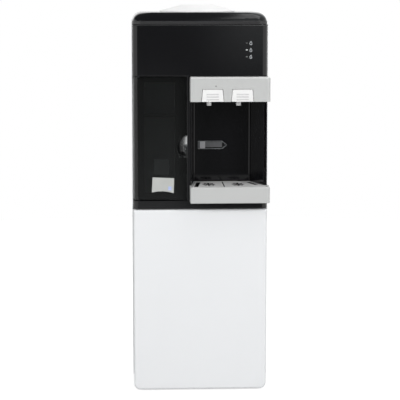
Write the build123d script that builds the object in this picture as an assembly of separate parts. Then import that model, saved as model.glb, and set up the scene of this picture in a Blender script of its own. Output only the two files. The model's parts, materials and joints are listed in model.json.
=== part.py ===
from build123d import *
import math
import os

# Free-standing top-loading water dispenser with a cup cupboard beside the taps.
# Millimetres. Seen from the front, +X is right, +Y is back and +Z is up.
# The origin is on the floor, under the middle of the whole object.

# Body
body_width = 340.0  # across the outer faces of the side panels
body_depth = 310.0  # front face of the mouldings to the back of the rear panel
trim_proud = 40.0  # silver fascia and drip tray in front of the mouldings
trim_wrap = 2.5  # silver trim beyond the right side panel
sheet = 1.0  # steel sheet
wall = 3.0  # moulded walls
overcut = 1.0  # cutters past the faces that they open
bond = 1.0  # arms sunk into what carries them
shell_gap = 0.6  # moulding to side panel
corner_radius = 14.0  # upright front corners of the black mouldings
side_setback = 16.0  # front edge of a side panel behind the front face
flange = 24.0  # turned-in edges of the side panels
bend_radius = 3.0  # outside of the folds at the rear corners

# Heights of the front, from the floor up
foot_height = 12.0
panel_lift = 4.0
lower_panel_height = 464.0
seam = 2.0
seam_edge = 1.0  # rounded edges along the seams
rim_height = 21.0
tap_zone_height = 312.0
upper_panel_height = 127.0
lid_seam = 1.0
lid_rim_height = 8.5
lid_crown_height = 21.5
seat_rise = 18.0
base_height = 30.0
base_inset = 18.0  # base behind the side panels' outer faces
base_corner = 8.0
sill_height = 8.0

# White lower panel
panel_depth = 24.0
panel_edge = 6.0
panel_foot_radius = 16.0

# Black frame around the cupboard and the tap bay
frame_depth = 32.0
frame_plate = 3.0
rim_toe = 7.0
post_width = 6.0
post_right = -27.0  # right face of the post, where the bay starts
jamb_width = 29.0
jamb_setback = 8.0
tab_gap = 1.0  # right edge's tab behind the side panel's front
cupboard_open_left = -140.0
cupboard_open_inset = 16.0
rail_depth = 9.0
rail_height = 13.0

# Tap bay
bay_depth = 95.0
bay_taper_left = 10.0
bay_taper_right = 31.0
bay_corner = 5.0
bay_mouth_setback = 12.0
bay_edge = 2.5  # frame edge between the bay and the right side panel

# Silver fascia, paddles and taps
fascia_height = 61.0
fascia_drop = 1.0  # fascia's top below the upper panel
fascia_wall = 2.5
fascia_left = -26.4
fascia_corner = 8.0
fascia_edge = 4.0
fascia_edge_step = 0.5  # left upright edge rounder than the rim
fascia_foot_edge = 1.5
paddle_mid = 66.0
paddle_pitch = 74.0
paddle_top_width = 49.0
paddle_foot_width = 55.0
paddle_height = 30.5
paddle_gap = 1.0
paddle_lift = 0.5  # paddle's lower edge above the fascia's
paddle_plate = 3.5
paddle_proud = 1.1
paddle_rib = 1.4
paddle_rib_count = 3
paddle_rib_length = 30.0
paddle_rib_pitch = 6.4
paddle_rib_lift = 5.8  # lowest rib above the paddle's lower edge
paddle_edge = 1.2
paddle_axis_drop = 4.0  # pivot below the paddle's top edge
paddle_axis_back = 7.0  # pivot behind the fascia's front face
paddle_press = 10.0  # degrees
pin_radius = 2.0
pivot_clearance = 0.05
barrel_radius = 4.5
lug_gap = 1.5
lug_width = 4.0
tap_shift = -6.5  # nozzle to the left of its paddle's middle
tap_back = 14.0  # nozzle axis behind the front face
nozzle_radius = 6.3
nozzle_bore = 4.5
nozzle_drop = 12.0
tap_flange_radius = 16.0
tap_flange = 3.0
chamber_radius = 13.0
bonnet_lip = 1.0
chamber_bore = 10.0
chamber_height = 26.0
bonnet = 3.0
stem_radius = 2.5
stem_gap = 0.7
valve_seat_rise = 6.0  # valve seat above the bay's ceiling
inlet_rise = 15.0  # hose spigot above the bay's ceiling
plug_radius = 7.5
plug_height = 7.0
collar_radius = 6.0
collar = 4.0
fork = 3.0
fork_tip = 2.0  # fork past the stem's collar
fork_gap = 2.0
fork_rest = 1.0  # lever's play above the bonnet
arm_width = 12.0
spring_radius = 5.5
spring_wire = 0.6
spring_turns = 4
hose_bore = 5.0
hose_wall = 2.0
spigot_length = 22.0
spigot_wall = 1.5
hose_grip = 16.0
hose_clear = 2.0  # hot hose behind the bay's back wall

# Drip tray
tray_height = 41.0
tray_drop = 3.0  # tray front below the top of the rim
tray_gap = 0.8
tray_wall = 2.5
tray_ledge = 3.0
tray_back_gap = 6.0
tray_travel = 140.0
grille_thickness = 3.0
grille_gap = 0.4
tray_land = 1.0  # flat of the tray's rim inside its rounded edge
rest_gap = 0.2  # a loose piece above the face it rests on
grille_drop = 0.6
rosette_slots = 8
rosette_inner = 4.0
rosette_outer = 17.0
rosette_stretch = 1.9  # depth to width
rosette_back = 10.0  # rosette's middle behind the nozzle's axis
petal_width = 8.0
petal_waist = 8.0  # widest place from the petal's root
petal_tip = 4.5
petal_tip_length = 1.5
slot_width = 4.0
rosette_hole = 2.4
split_width = 2.6
split_end = 16.0  # split short of the tray's ends
finger_slot = 10.0
finger_slot_inset = 2.5
finger_slot_left = (0.05, 0.85)  # shares of the grille's depth
finger_slot_right = (0.38, 0.84)

# Cupboard
door_gap = 2.5
door_seam = 1.5
door_return = 7.0
hinge_pin_radius = 3.0
hinge_pin_grip = 7.0  # pin length in the door and in the frame
hinge_head = 4.8
hinge_head_height = 2.0
hinge_boss_radius = 8.0
hinge_boss = 2.5  # floor of the boss past the pin's end
pull_width = 23.0
pull_height = 56.0
pull_drop = 20.0  # middle of the finger pull below the middle of the door
pull_depth = 15.0
dish_margin = 2.0  # finger dish past the door's cut-out
dish_lift = 1.0
liner_wall = 2.0
liner_depth = 80.0
liner_side = 8.0  # left inner face behind the side panel's inner face
liner_ceiling = 6.0
shelf_height = 208.0  # above the rim
shelf_thickness = 3.0
shelf_slots = 5
shelf_slot_pitch = 12.0
shelf_slot_length = 48.0
shelf_ledge = 5.0
shelf_gap = 0.5
magnet_width = 8.0
magnet_length = 26.0
magnet_rise = 60.0
strike = 1.2
catch_gap = 0.4

# Indicators
lamp_x = 116.0
lamp_pitch = 17.0
lamp_slack = 0.1
board_margin = 25.5  # board past the end lamps
lamp_drop = 62.0  # middle lamp below the top of the upper panel
lamp_width = 5.0
lamp_height = 3.0
lamp_count = 3
board_stand = 6.0
board = 1.6
board_width = 46.0

# Top cover and bottle seat
lid_corner = 24.0  # upright corners at the front
lid_rear_corner = 6.0
lid_step = 1.0
lid_shoulder = 82.0  # degrees, slope of the crown where it leaves the rim
lid_sections = 6
deck_hole = 86.0
seat_y = 26.0
seat_flange = 97.0
seat_crown = 42.0
seat_lip = 12.0
throat_radius = 31.0
throat_length = 84.0
throat_wall = 3.0
seat_flange_edge = 2.1

# Cold tank and its jacket
tank_back = 106.0  # tank axis in front of the rear panel's back
tank_radius = 72.0
tank_height = 198.0
tank_wall = 1.0
jacket_radius = 95.0
jacket_floor = 12.0
coil_tube = 3.4
coil_gap = 0.2
coil_pitch = 10.0
coil_turns = 6
coil_rise = 78.0
cap_height = 12.0
throat_gap = 0.8
tank_outlet_rise = 69.0  # tap spigot above the tank's deck
deck_front = 24.0  # deck starts this far behind the bay's back wall
deck_lip = 14.0

# Hot tank
hot_radius = 50.0
hot_height = 165.0
hot_deck_rim = 10.0
hot_tank_gap = 21.0  # hot tank's top below the cold tank's deck
hot_outlet_rise = 145.0
hot_inlet_rise = 40.0
heater_rise = 70.0
heater_height = 34.0
heater_wall = 2.0

# Machine compartment
compressor_x = -30.0
compressor_back = 96.0
compressor_radius = 62.0
compressor_height = 165.0
compressor_seam = 5.0
compressor_wall = 14.0  # can and motor together, at their real weight
stub_wall = 1.0
can_seam_share = 0.48  # weld above the can's foot
can_foot = ((12.4, 0.0), (3.72, 8.68), (0.0, 24.8))  # inside the can's radius, rise
can_crown = ((0.0, 34.1), (6.2, 14.88), (19.84, 4.34), (39.68, 0.0))  # inside, drop
can_core_drop = 37.2  # hollow's top below the can's
relay_width = 42.0
relay_height = 44.0
relay_depth = 22.0
relay_rise = 29.0
compressor_plate_width = 168.0
compressor_plate_depth = 112.0
grommet_radius = 11.0
grommet_margin = 1.0
grommet_height = 11.0
pipe_radius = 3.0
pipe_bend = 18.0
pipe_stub = 6.0
suction_rise = 110.0
discharge_rise = 100.0
drain_z = 380.0
drain_cold_x = -40.0
drain_spout_radius = 8.0
drain_cap_radius = 11.0
drain_cap = 12.0
spout_body = 14.0
spout_flange = 2.0
spout_nose = 10.0
power_box_depth = 80.0
power_box_width = 34.0
power_box_height = 110.0
power_box_z = 330.0
power_box_gap = 26.0

# Rear panel and condenser
rear_panel_z = 300.0
condenser_reach = 18.0
condenser_stand = 10.0  # tube axis behind the rear panel
condenser_tube = 2.4
condenser_bend = 19.0
condenser_half = 128.0
condenser_passes = 9
condenser_pitch = 49.0
condenser_z = 440.0
condenser_leg_x = 140.0
condenser_leg = 60.0  # legs below the lowest pass
wire_radius = 0.8
wire_pitch = 10.0
wire_count = 22
wire_overhang = 12.0
wire_gap = 0.05
clip_x = 85.0
clip_width = 14.0
clip_height = 26.0
drier_radius = 6.5
drier_length = 60.0
switch_x = 104.0
switch_drop = 33.0  # switches' middle below the rear panel's top
switch_pitch = 36.0
switch_width = 20.0
switch_height = 28.0
switch_flange = 2.0
switch_depth = 16.0
switch_frame = 3.0
rocker_gap = 0.7
rocker_end_gap = 1.8  # rocker's ends inside the frame
rocker_root_share = 0.65  # root's length to the face's
rocker_tilt = 8.0
rocker_depth = 5.0  # pivot behind the panel's face
rocker_rise = 7.0
rocker_root = 3.0  # rocker inside its pivot
rocker_dish = 2.0
trunnion = 1.3
trunnion_play = 0.1  # at each end
trunnion_inset = 1.0
gland_x = 40.0
gland_rise = 45.0  # above the rear panel's lower edge
gland_radius = 9.0
gland_neck = 7.0
gland_bore = 3.8
gland_flange = 3.0
gland_nose = 8.0
vent_count = 9
vent_pitch = 12.0
vent_width = 84.0
vent_height = 4.0
vent_x = -100.0
vent_rise = 18.0  # lowest louvre above the rear panel's lower edge

# Feet
foot_radius = 18.0
foot_inset = 34.0
foot_front_gap = 4.0  # front feet behind the lower panel

# Places worked out from the sizes
half_body = body_width / 2
inner_side = half_body - sheet
half_shell = inner_side - shell_gap
y_front = (trim_proud - body_depth - condenser_reach) / 2
y_back = y_front + body_depth
y_trim = y_front - trim_proud
trim_right = half_body + trim_wrap
y_frame = y_front + frame_depth
y_plate = y_frame - frame_plate
y_bay = y_front + bay_depth
y_front_feet = y_front + panel_depth + foot_front_gap + foot_radius

z_base = foot_height + base_height
z_panel = panel_lift + lower_panel_height
z_rim = z_panel + seam
z_rim_top = z_rim + rim_height
z_frame_top = z_rim_top + tap_zone_height
z_upper_top = z_frame_top + upper_panel_height
z_lid = z_upper_top + lid_seam
z_lid_step = z_lid + lid_rim_height
z_deck = z_lid_step + lid_crown_height
z_crown = z_deck + seat_rise
z_fascia_top = z_frame_top - fascia_drop
z_fascia = z_fascia_top - fascia_height
z_ceiling = z_fascia + wall
z_bay_floor = z_rim_top + wall
z_tray = z_rim_top - tray_drop
z_tray_top = z_tray + tray_height
tray_rim = fascia_edge + tray_land

post_left = post_right - post_width
jamb_left = post_left - jamb_width
bay_left = post_right + wall
bay_right = half_shell - bay_edge - wall

hinge_x = -half_shell + corner_radius
hinge_y = y_front + corner_radius
z_door = z_rim_top + door_gap
z_door_top = z_frame_top - door_gap
door_right = post_left - door_seam
z_pull = (z_door + z_door_top) / 2 - pull_drop
boss_height = hinge_pin_grip + hinge_boss
z_magnet = z_rim_top + magnet_rise
cupboard_left = liner_side - inner_side
y_cupboard = y_frame + liner_depth - liner_wall
z_cupboard = z_rim_top + liner_ceiling
z_cupboard_top = z_frame_top - liner_ceiling
z_shelf = z_rim_top + shelf_height

lamp_zs = tuple(z_upper_top - lamp_drop + lamp_pitch * (1 - row) for row in range(lamp_count))

paddle_xs = (paddle_mid - paddle_pitch / 2, paddle_mid + paddle_pitch / 2)
tap_xs = tuple(x + tap_shift for x in paddle_xs)
tap_y = y_front + tap_back
z_paddle = z_fascia + paddle_lift
z_paddle_top = z_paddle + paddle_height
pivot_y = y_trim + paddle_axis_back
pivot_z = z_paddle_top - paddle_axis_drop
z_chamber = z_ceiling + tap_flange
z_chamber_top = z_ceiling + chamber_height
z_bonnet = z_chamber_top + bonnet
z_fork = z_bonnet + fork_gap + fork_rest
z_collar = z_fork + fork + fork_gap
z_seat = z_ceiling + valve_seat_rise
z_inlet = z_ceiling + inlet_rise
z_plug_top = z_seat + plug_height
lug_inner = paddle_top_width / 2 + 2 * paddle_gap
lug_outer = lug_inner + lug_width
spigot_radius = hose_bore
hose_radius = hose_bore + hose_wall
spigot_end = tap_y + chamber_radius + spigot_length

lid_radius = lid_crown_height / (1 - math.cos(math.radians(lid_shoulder)))

tank_y = y_back - tank_back
tank_deck_z = z_inlet - tank_outlet_rise
z_jacket = tank_deck_z + sheet
z_tank = z_jacket + jacket_floor
z_tank_top = z_tank + tank_height
coil_radius = tank_radius + coil_gap + coil_tube
jacket_bore = coil_radius + coil_tube + coil_gap
z_coil = z_tank + coil_rise
y_deck = y_bay + deck_front
spigot_front = tank_y - jacket_radius - hose_grip
y_hose = y_bay + wall + hose_radius + hose_clear

hot_x = tap_xs[1]
hot_y = tank_y
hot_deck_z = tank_deck_z - hot_tank_gap - hot_height - sheet
z_hot = hot_deck_z + sheet
z_hot_top = z_hot + hot_height
z_hot_outlet = z_hot + hot_outlet_rise
z_hot_inlet = z_hot + hot_inlet_rise
y_spout = y_back + spout_nose

compressor_y = y_back - compressor_back
z_pan = foot_height + wall
z_compressor = z_pan + grommet_height
suction_x = compressor_x - compressor_radius - pipe_stub
discharge_x = compressor_x + compressor_radius + pipe_stub
z_suction = z_compressor + suction_rise
z_discharge = z_compressor + discharge_rise
switch_xs = (switch_x - switch_pitch, switch_x)
switch_z = z_lid - switch_drop
y_rocker = y_back - rocker_depth
trunnion_end = switch_width / 2 - trunnion_inset

gland_z = rear_panel_z + gland_rise
vent_z = rear_panel_z + vent_rise
condenser_y = y_back + condenser_stand
condenser_top = condenser_z + (condenser_passes - 1) * condenser_pitch
z_drier = condenser_z - condenser_leg


def block(x0, x1, y0, y1, z0, z1):
    """A box between two opposite corners."""
    middle = Pos((x0 + x1) / 2, (y0 + y1) / 2, (z0 + z1) / 2)
    return middle * Box(x1 - x0, y1 - y0, z1 - z0)


def upright(x, y, radius, z0, z1):
    """A cylinder standing along Z."""
    return Pos(x, y, (z0 + z1) / 2) * Cylinder(radius, z1 - z0)


def bar_x(x0, x1, radius, y, z):
    """A cylinder lying along X."""
    return Pos((x0 + x1) / 2, y, z) * Rot(0, 90, 0) * Cylinder(radius, x1 - x0)


def bar_y(y0, y1, radius, x, z):
    """A cylinder lying along Y."""
    return Pos(x, (y0 + y1) / 2, z) * Rot(90, 0, 0) * Cylinder(radius, y1 - y0)


def ring(x, y, outer, inner, z0, z1):
    """A tube standing along Z."""
    return upright(x, y, outer, z0, z1) - upright(x, y, inner, z0 - overcut, z1 + overcut)


def turned(x, y, points):
    """A solid turned about an upright axis from (radius, height) points."""
    face = make_face(Polyline(*points, close=True))
    return Pos(x, y, 0) * revolve(Plane.XZ * face, Axis.Z)


def slab(points, z0, z1):
    """A plan outline of (x, y) points raised from z0 to z1."""
    return Pos(0, 0, z0) * extrude(make_face(Polyline(*points, close=True)), z1 - z0)


def pipe(points, bends, radius, bore=0.0):
    """A round tube along straight runs joined by arcs."""
    path = FilletPolyline(*points, radius=bends)
    section = Circle(radius)
    if bore:
        section -= Circle(bore)
    return sweep(Plane(path @ 0, z_dir=path % 0) * section, path=path)


def rounded_front(x0, x1, y0, y1, z0, z1, corner, top_edge=0.0, foot_edge=0.0):
    """A block with rounded upright front corners and softened top and bottom edges."""
    body = block(x0, x1, y0, y1, z0, z1)
    body = fillet(body.edges().filter_by(Axis.Z).group_by(Axis.Y)[0], corner)
    for level, radius in ((-1, top_edge), (0, foot_edge)):
        if radius:
            rim = body.edges().group_by(Axis.Z)[level]
            rim = rim.filter_by(lambda edge: edge.center().Y < y1 - wall / 2)
            body = fillet(rim, radius)
    return body


def front_moulding(z0, z1, depth, top_edge, foot_edge, toe=0.0):
    """A black front moulding across the whole width, open at the back, with rounded lower corners."""
    body = rounded_front(
        -half_shell, half_shell, y_front, y_front + depth, z0, z1, corner_radius, top_edge, foot_edge
    )
    hollow = rounded_front(
        wall - half_shell, half_shell - wall, y_front + wall, y_front + depth + overcut,
        z0 + wall, z1 - wall, corner_radius - wall,
    )
    if toe:
        body &= toed_block(0.0, depth, z0, z1, toe)
        hollow &= toed_block(wall, depth, z0, z1, toe)
    return body - hollow


def toed_block(inset, depth, z0, z1, toe):
    """A block across the front whose two lower corners are rounded as seen from the front."""
    body = block(
        inset - half_shell, half_shell - inset,
        y_front - overcut, y_front + depth + 2 * overcut, z0 + inset, z1 + overcut,
    )
    return fillet(body.edges().filter_by(Axis.Y).group_by(Axis.Z)[0], toe - inset)


def panel(points, y0, y1):
    """A front outline of (x, z) points carried back from y0 to y1."""
    face = make_face(Polyline(*points, close=True))
    return extrude(Plane.XZ.offset(-y0) * face, y0 - y1)


def drilled(body, x, y, radius, z0, z1):
    """The body with an upright hole through it."""
    return body - upright(x, y, radius, z0, z1)


# Base, feet and sheet metal


def base_pan():
    """Moulded base tub that carries the compressor, with a low sill at the back."""
    half = half_body - base_inset
    front = y_front + wall
    back = y_back - sheet
    body = block(-half, half, front, back, foot_height, z_base)
    body = fillet(body.edges().filter_by(Axis.Z), base_corner)
    inside = block(wall - half, half - wall, front + wall, back - wall, z_pan, z_base + wall)
    inside = fillet(inside.edges().filter_by(Axis.Z), base_corner - wall)
    way = half - 2 * base_corner
    sill = block(-way, way, back - 2 * wall, y_back, z_pan + sill_height, z_base + wall)
    return body - inside - sill


def feet():
    """Four tapered rubber feet under the base."""
    taper = foot_radius / 4
    edge = foot_radius / 9
    outline = [
        (0, 0),
        (foot_radius - edge, 0),
        (foot_radius, edge),
        (foot_radius - taper, foot_height),
        (0, foot_height),
    ]
    x = half_body - foot_inset
    soles = []
    for foot_x in (-x, x):
        for foot_y in (y_front_feet, y_back - foot_inset):
            soles.append(turned(foot_x, foot_y, outline))
    return Compound(children=soles)


def side_panel(side):
    """Painted steel side with turned-in rear, top and bottom edges."""
    low, high = sorted((side * inner_side, side * half_body))
    fold_low, fold_high = sorted((side * (half_body - flange), side * half_body))
    back = y_back - sheet
    body = block(low, high, y_front + side_setback, back, z_base, z_lid)
    body += block(fold_low, fold_high, back - sheet, back, z_base, z_lid)
    body += block(fold_low, fold_high, y_front + panel_depth + seam, back, z_base, z_base + sheet)
    body += block(fold_low, fold_high, y_frame + seam, back, z_lid - sheet, z_lid)
    corner = body.edges().filter_by(Axis.Z).group_by(Axis.Y)[-1].sort_by(Axis.X)
    return fillet(corner[0] if side < 0 else corner[-1], bend_radius)


def rear_panel():
    """Steel back above the machine compartment, with louvres and openings."""
    body = block(-half_shell, half_shell, y_back - sheet, y_back, rear_panel_z, z_lid)
    for row in range(vent_count):
        place = Pos(vent_x, y_back, vent_z + row * vent_pitch)
        body -= place * Box(vent_width, 4 * sheet, vent_height)
    for x in switch_xs:
        body -= Pos(x, y_back, switch_z) * Box(switch_width, 4 * sheet, switch_height)
    for x in (drain_cold_x, hot_x):
        body -= bar_y(y_back - 2 * sheet, y_back + sheet, drain_spout_radius, x, drain_z)
    body -= bar_y(y_back - 2 * sheet, y_back + sheet, gland_neck, gland_x, gland_z)
    return body


# Front mouldings


def lower_front_panel():
    """White moulded panel with rounded feet, open at the back."""

    def filled(inset):
        body = block(
            inset - half_shell, half_shell - inset, y_front + inset, y_front + panel_depth + inset,
            panel_lift + inset, z_panel - inset,
        )
        toes = body.edges().filter_by(Axis.Y).group_by(Axis.Z)[0]
        return fillet(toes, panel_foot_radius - inset)

    body = filled(0.0)
    body = fillet(body.faces().sort_by(Axis.Y)[0].edges(), panel_edge)
    return body - filled(wall)


def upper_front_panel():
    """Black control panel with lamp windows and the door's upper pivot hole."""
    body = front_moulding(z_frame_top, z_upper_top, frame_depth - wall, panel_edge / 2, seam_edge)
    for z in lamp_zs:
        body -= Pos(lamp_x, y_front, z) * Box(lamp_width, 4 * wall, lamp_height)
    for z in (lamp_zs[0] + lamp_pitch, lamp_zs[-1] - lamp_pitch):
        body += bar_y(y_front + wall / 2, y_front + wall + board_stand, wall, lamp_x, z)
    hole = hinge_pin_radius + pivot_clearance
    return drilled(body, hinge_x, hinge_y, hole, z_frame_top - wall, z_frame_top + 2 * wall)


def front_frame():
    """Black frame: rim, cupboard surround with the finger dish, post and right edge."""
    body = front_moulding(z_rim, z_rim_top, frame_depth, seam_edge, seam_edge, rim_toe)
    body += block(-inner_side, post_left, y_plate, y_frame, z_rim_top, z_frame_top)
    jamb_front = y_front + jamb_setback
    body += block(jamb_left, post_left, jamb_front, y_frame, z_rim_top, z_frame_top)
    post = block(post_left, post_right, y_front, y_frame, z_rim_top, z_frame_top)
    body += fillet(post.edges().filter_by(Axis.Z).group_by(Axis.Y)[0], post_width / 4)
    edge_front = y_front + bay_mouth_setback
    edge = block(half_shell - bay_edge, half_shell, edge_front, y_frame, z_rim_top, z_frame_top)
    body += fillet(edge.edges().filter_by(Axis.Z).group_by(Axis.Y)[0], bay_edge / 3)
    tab_front = y_front + side_setback + tab_gap
    body += block(half_shell - bay_edge, inner_side, tab_front, y_frame, z_rim_top, z_frame_top)
    rail = y_frame - rail_depth
    body += block(cupboard_open_left, inner_side, rail, y_frame, z_frame_top - rail_height, z_frame_top)
    body -= block(
        cupboard_open_left, jamb_left, y_front, y_frame + wall,
        z_rim_top + cupboard_open_inset, z_frame_top - cupboard_open_inset,
    )
    dish = scale(Sphere(1.0), (pull_width + dish_margin, pull_depth, pull_height / 2 + dish_margin))
    dish = dish & block(-2 * pull_width, 0, -pull_depth, pull_depth, -pull_height, pull_height)
    body -= Pos(post_left, jamb_front - dish_lift, z_pull) * dish
    hole = hinge_pin_radius + pivot_clearance
    return drilled(body, hinge_x, hinge_y, hole, z_rim_top - 2 * wall, z_rim_top + wall)


def bay_liner():
    """Black tapered recess under the taps."""
    outer = [
        (bay_left - wall, y_front),
        (bay_right + wall, y_front),
        (bay_right - bay_taper_right + wall, y_bay + wall),
        (bay_left + bay_taper_left - wall, y_bay + wall),
    ]
    body = slab(outer, z_rim_top, z_ceiling)
    inner = [
        (bay_left, y_front - wall),
        (bay_right, y_front - wall),
        (bay_right, y_front),
        (bay_right - bay_taper_right, y_bay),
        (bay_left + bay_taper_left, y_bay),
        (bay_left, y_front),
    ]
    room = slab(inner, z_bay_floor, z_fascia)
    corners = room.edges().filter_by(Axis.Z).group_by(Axis.Y)[-1]
    body -= fillet(corners, bay_corner)
    mouth = y_front + bay_mouth_setback
    body -= block(bay_right - 2 * wall, half_shell, y_front - wall, mouth, z_rim_top - overcut, z_fascia)
    for x in tap_xs:
        body = drilled(body, x, tap_y, nozzle_radius + stem_gap, z_fascia - wall, z_ceiling + wall)
    return body


# Fascia, paddles and taps


def trim_block(z0, z1, foot_edge):
    """Outside of a silver trim piece, with its side lip behind the front face."""
    back = y_front + bay_mouth_setback
    body = block(fascia_left, trim_right, y_trim, back, z0, z1)
    uprights = body.edges().filter_by(Axis.Z).group_by(Axis.Y)[0].sort_by(Axis.X)
    body = fillet(uprights[-1], fascia_corner)
    uprights = body.edges().filter_by(Axis.Z).group_by(Axis.Y)[0].sort_by(Axis.X)
    body = fillet(uprights[0], fascia_edge + fascia_edge_step)
    for level, radius in ((-1, fascia_edge), (0, foot_edge)):
        rim = body.edges().group_by(Axis.Z)[level]
        body = fillet(rim.filter_by(lambda edge: edge.center().Y < back - overcut), radius)
    return body


def notch(x):
    """Opening for one paddle in the fascia's front and bottom."""
    top = paddle_top_width / 2 + paddle_gap
    foot = paddle_foot_width / 2 + paddle_gap
    points = [
        (x - foot, z_fascia - wall),
        (x + foot, z_fascia - wall),
        (x + foot, z_paddle),
        (x + top, z_paddle_top + paddle_gap),
        (x - top, z_paddle_top + paddle_gap),
        (x - foot, z_paddle),
    ]
    return panel(points, y_trim - wall, pivot_y + 2 * barrel_radius)


def tap_fascia():
    """Silver box over the taps, open at the back, with lugs for the paddle pins."""
    body = trim_block(z_fascia, z_fascia_top, fascia_foot_edge)
    body -= block(
        fascia_left + fascia_wall, trim_right - fascia_wall, y_trim + fascia_wall,
        y_front + 2 * bay_mouth_setback, z_fascia + fascia_wall, z_fascia_top - fascia_wall,
    )
    body -= block(
        fascia_left - overcut, trim_right - fascia_wall, y_front, y_front + 2 * bay_mouth_setback,
        z_fascia - overcut, z_fascia_top + overcut,
    )
    for x in paddle_xs:
        body -= notch(x)
        for side in (-1, 1):
            low, high = sorted((x + side * lug_inner, x + side * (lug_inner + lug_width)))
            lug = block(
                low, high, y_trim + fascia_wall / 2, pivot_y + barrel_radius,
                pivot_z - barrel_radius, pivot_z + barrel_radius,
            )
            body += lug
        hole = pin_radius + pivot_clearance
        reach = lug_outer + overcut
        body -= bar_x(x - reach, x + reach, hole, pivot_y, pivot_z)
    return body


def paddle(x):
    """White push paddle with its barrel and the forked lever that lifts the valve."""
    top = paddle_top_width / 2
    foot = paddle_foot_width / 2
    face = y_trim - paddle_proud
    points = [(x - foot, z_paddle), (x + foot, z_paddle), (x + top, z_paddle_top), (x - top, z_paddle_top)]
    body = panel(points, face, face + paddle_plate)
    body = fillet(body.faces().sort_by(Axis.Y)[0].edges(), paddle_edge)
    half = paddle_rib_length / 2
    for rib in range(paddle_rib_count):
        z = z_paddle + paddle_rib_lift + rib * paddle_rib_pitch
        body += bar_x(x - half, x + half, paddle_rib, face, z)
    half = top - lug_gap
    body += bar_x(x - half, x + half, barrel_radius, pivot_y, pivot_z)
    body += block(
        x - half, x + half, face + paddle_plate / 2, pivot_y,
        pivot_z - barrel_radius / 2, pivot_z + barrel_radius / 2,
    )
    arm = arm_width / 2
    tap_x = x + tap_shift
    body += block(tap_x - arm, tap_x + arm, pivot_y - bond, pivot_y + fork, pivot_z, z_fork + fork)
    tip = tap_y + collar_radius + fork_tip
    body += block(tap_x - arm, tap_x + arm, pivot_y - bond, tip, z_fork, z_fork + fork)
    slot = stem_radius + stem_gap
    body -= block(
        tap_x - slot, tap_x + slot, tap_y - 2 * stem_radius - stem_gap, tip + overcut,
        z_fork - overcut, z_fork + fork + overcut,
    )
    hole = pin_radius + pivot_clearance
    return body - bar_x(x - foot, x + foot, hole, pivot_y, pivot_z)


def paddle_pins():
    """The two steel pins that the paddles swing on."""
    return Compound(
        children=[bar_x(x - lug_outer, x + lug_outer, pin_radius, pivot_y, pivot_z) for x in paddle_xs]
    )


def tap_body(x):
    """Valve chamber with its nozzle below and its hose spigot behind."""
    body = turned(x, tap_y, [
        (nozzle_bore, z_fascia - nozzle_drop),
        (nozzle_radius, z_fascia - nozzle_drop),
        (nozzle_radius, z_ceiling),
        (tap_flange_radius, z_ceiling),
        (tap_flange_radius, z_chamber),
        (chamber_radius, z_chamber),
        (chamber_radius, z_chamber_top),
        (chamber_bore, z_chamber_top),
        (chamber_bore, z_seat),
        (nozzle_bore, z_seat),
    ])
    root = tap_y + (chamber_bore + chamber_radius) / 2
    body += bar_y(root, spigot_end, spigot_radius, x, z_inlet)
    return body - bar_y(tap_y, spigot_end + overcut, spigot_radius - spigot_wall, x, z_inlet)


def tap_bonnets():
    """Caps on the two valve chambers."""
    hole = stem_radius + stem_gap
    return Compound(
        children=[ring(x, tap_y, chamber_radius + bonnet_lip, hole, z_chamber_top, z_bonnet) for x in tap_xs]
    )


def valve_plug(x):
    """Rubber plug on its stem, with the collar that the fork lifts."""
    return turned(x, tap_y, [
        (0, z_seat + rest_gap),
        (plug_radius, z_seat + rest_gap),
        (plug_radius, z_plug_top),
        (stem_radius, z_plug_top),
        (stem_radius, z_collar),
        (collar_radius, z_collar),
        (collar_radius, z_collar + collar),
        (0, z_collar + collar),
    ])


def tap_spring(x):
    """Coil spring between the plug and the bonnet."""
    low = z_plug_top + spring_wire + rest_gap
    height = z_chamber_top - spring_wire - rest_gap - low
    path = Helix(height / spring_turns, height, spring_radius)
    wire = sweep(Plane(path @ 0, z_dir=path % 0) * Circle(spring_wire), path=path, is_frenet=True)
    return Pos(x, tap_y, low) * wire


# Drip tray


def tray_plan():
    """Plan of the tray: a straight front part and a part that follows the bay."""
    front = make_face(Polyline(
        (fascia_left, y_trim),
        (trim_right, y_trim),
        (trim_right, y_front - tray_gap),
        (fascia_left, y_front - tray_gap),
        close=True,
    ))
    slope_left = bay_taper_left / bay_depth
    slope_right = bay_taper_right / bay_depth
    back = bay_depth - tray_back_gap
    inset = 2 * tray_gap
    rear = make_face(Polyline(
        (bay_left + inset, y_front - 2 * tray_gap),
        (bay_right - inset, y_front - 2 * tray_gap),
        (bay_right - inset, y_front),
        (bay_right - inset - slope_right * back, y_front + back),
        (bay_left + inset + slope_left * back, y_front + back),
        (bay_left + inset, y_front),
        close=True,
    ))
    return front + rear


def raised(plan, z0, z1):
    """A plan face raised from z0 to z1."""
    return Pos(0, 0, z0) * extrude(plan, z1 - z0)


def drip_tray():
    """Silver pull-out tray with a ledge for the grille."""
    front = trim_block(z_tray, z_tray_top, fascia_edge / 2)
    front -= block(
        fascia_left - overcut, trim_right - tray_wall,
        y_front - tray_gap, y_front + 2 * bay_mouth_setback, z_tray - overcut, z_tray_top + overcut,
    )
    plan = tray_plan()
    z_floor = z_bay_floor + rest_gap
    z_ledge = z_tray_top - grille_drop - grille_thickness
    well = offset(plan, amount=-tray_rim, kind=Kind.INTERSECTION)
    deep = offset(plan, amount=-(tray_rim + tray_ledge), kind=Kind.INTERSECTION)
    rear = raised(plan, z_floor, z_tray_top) - block(
        fascia_left - overcut, trim_right + overcut, y_trim - overcut, y_front - 2 * tray_gap,
        z_tray, z_tray_top + overcut,
    )
    body = front + rear
    body -= raised(well, z_ledge, z_tray_top + overcut)
    return body - raised(deep, z_floor + tray_wall, z_tray_top + overcut)


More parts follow.
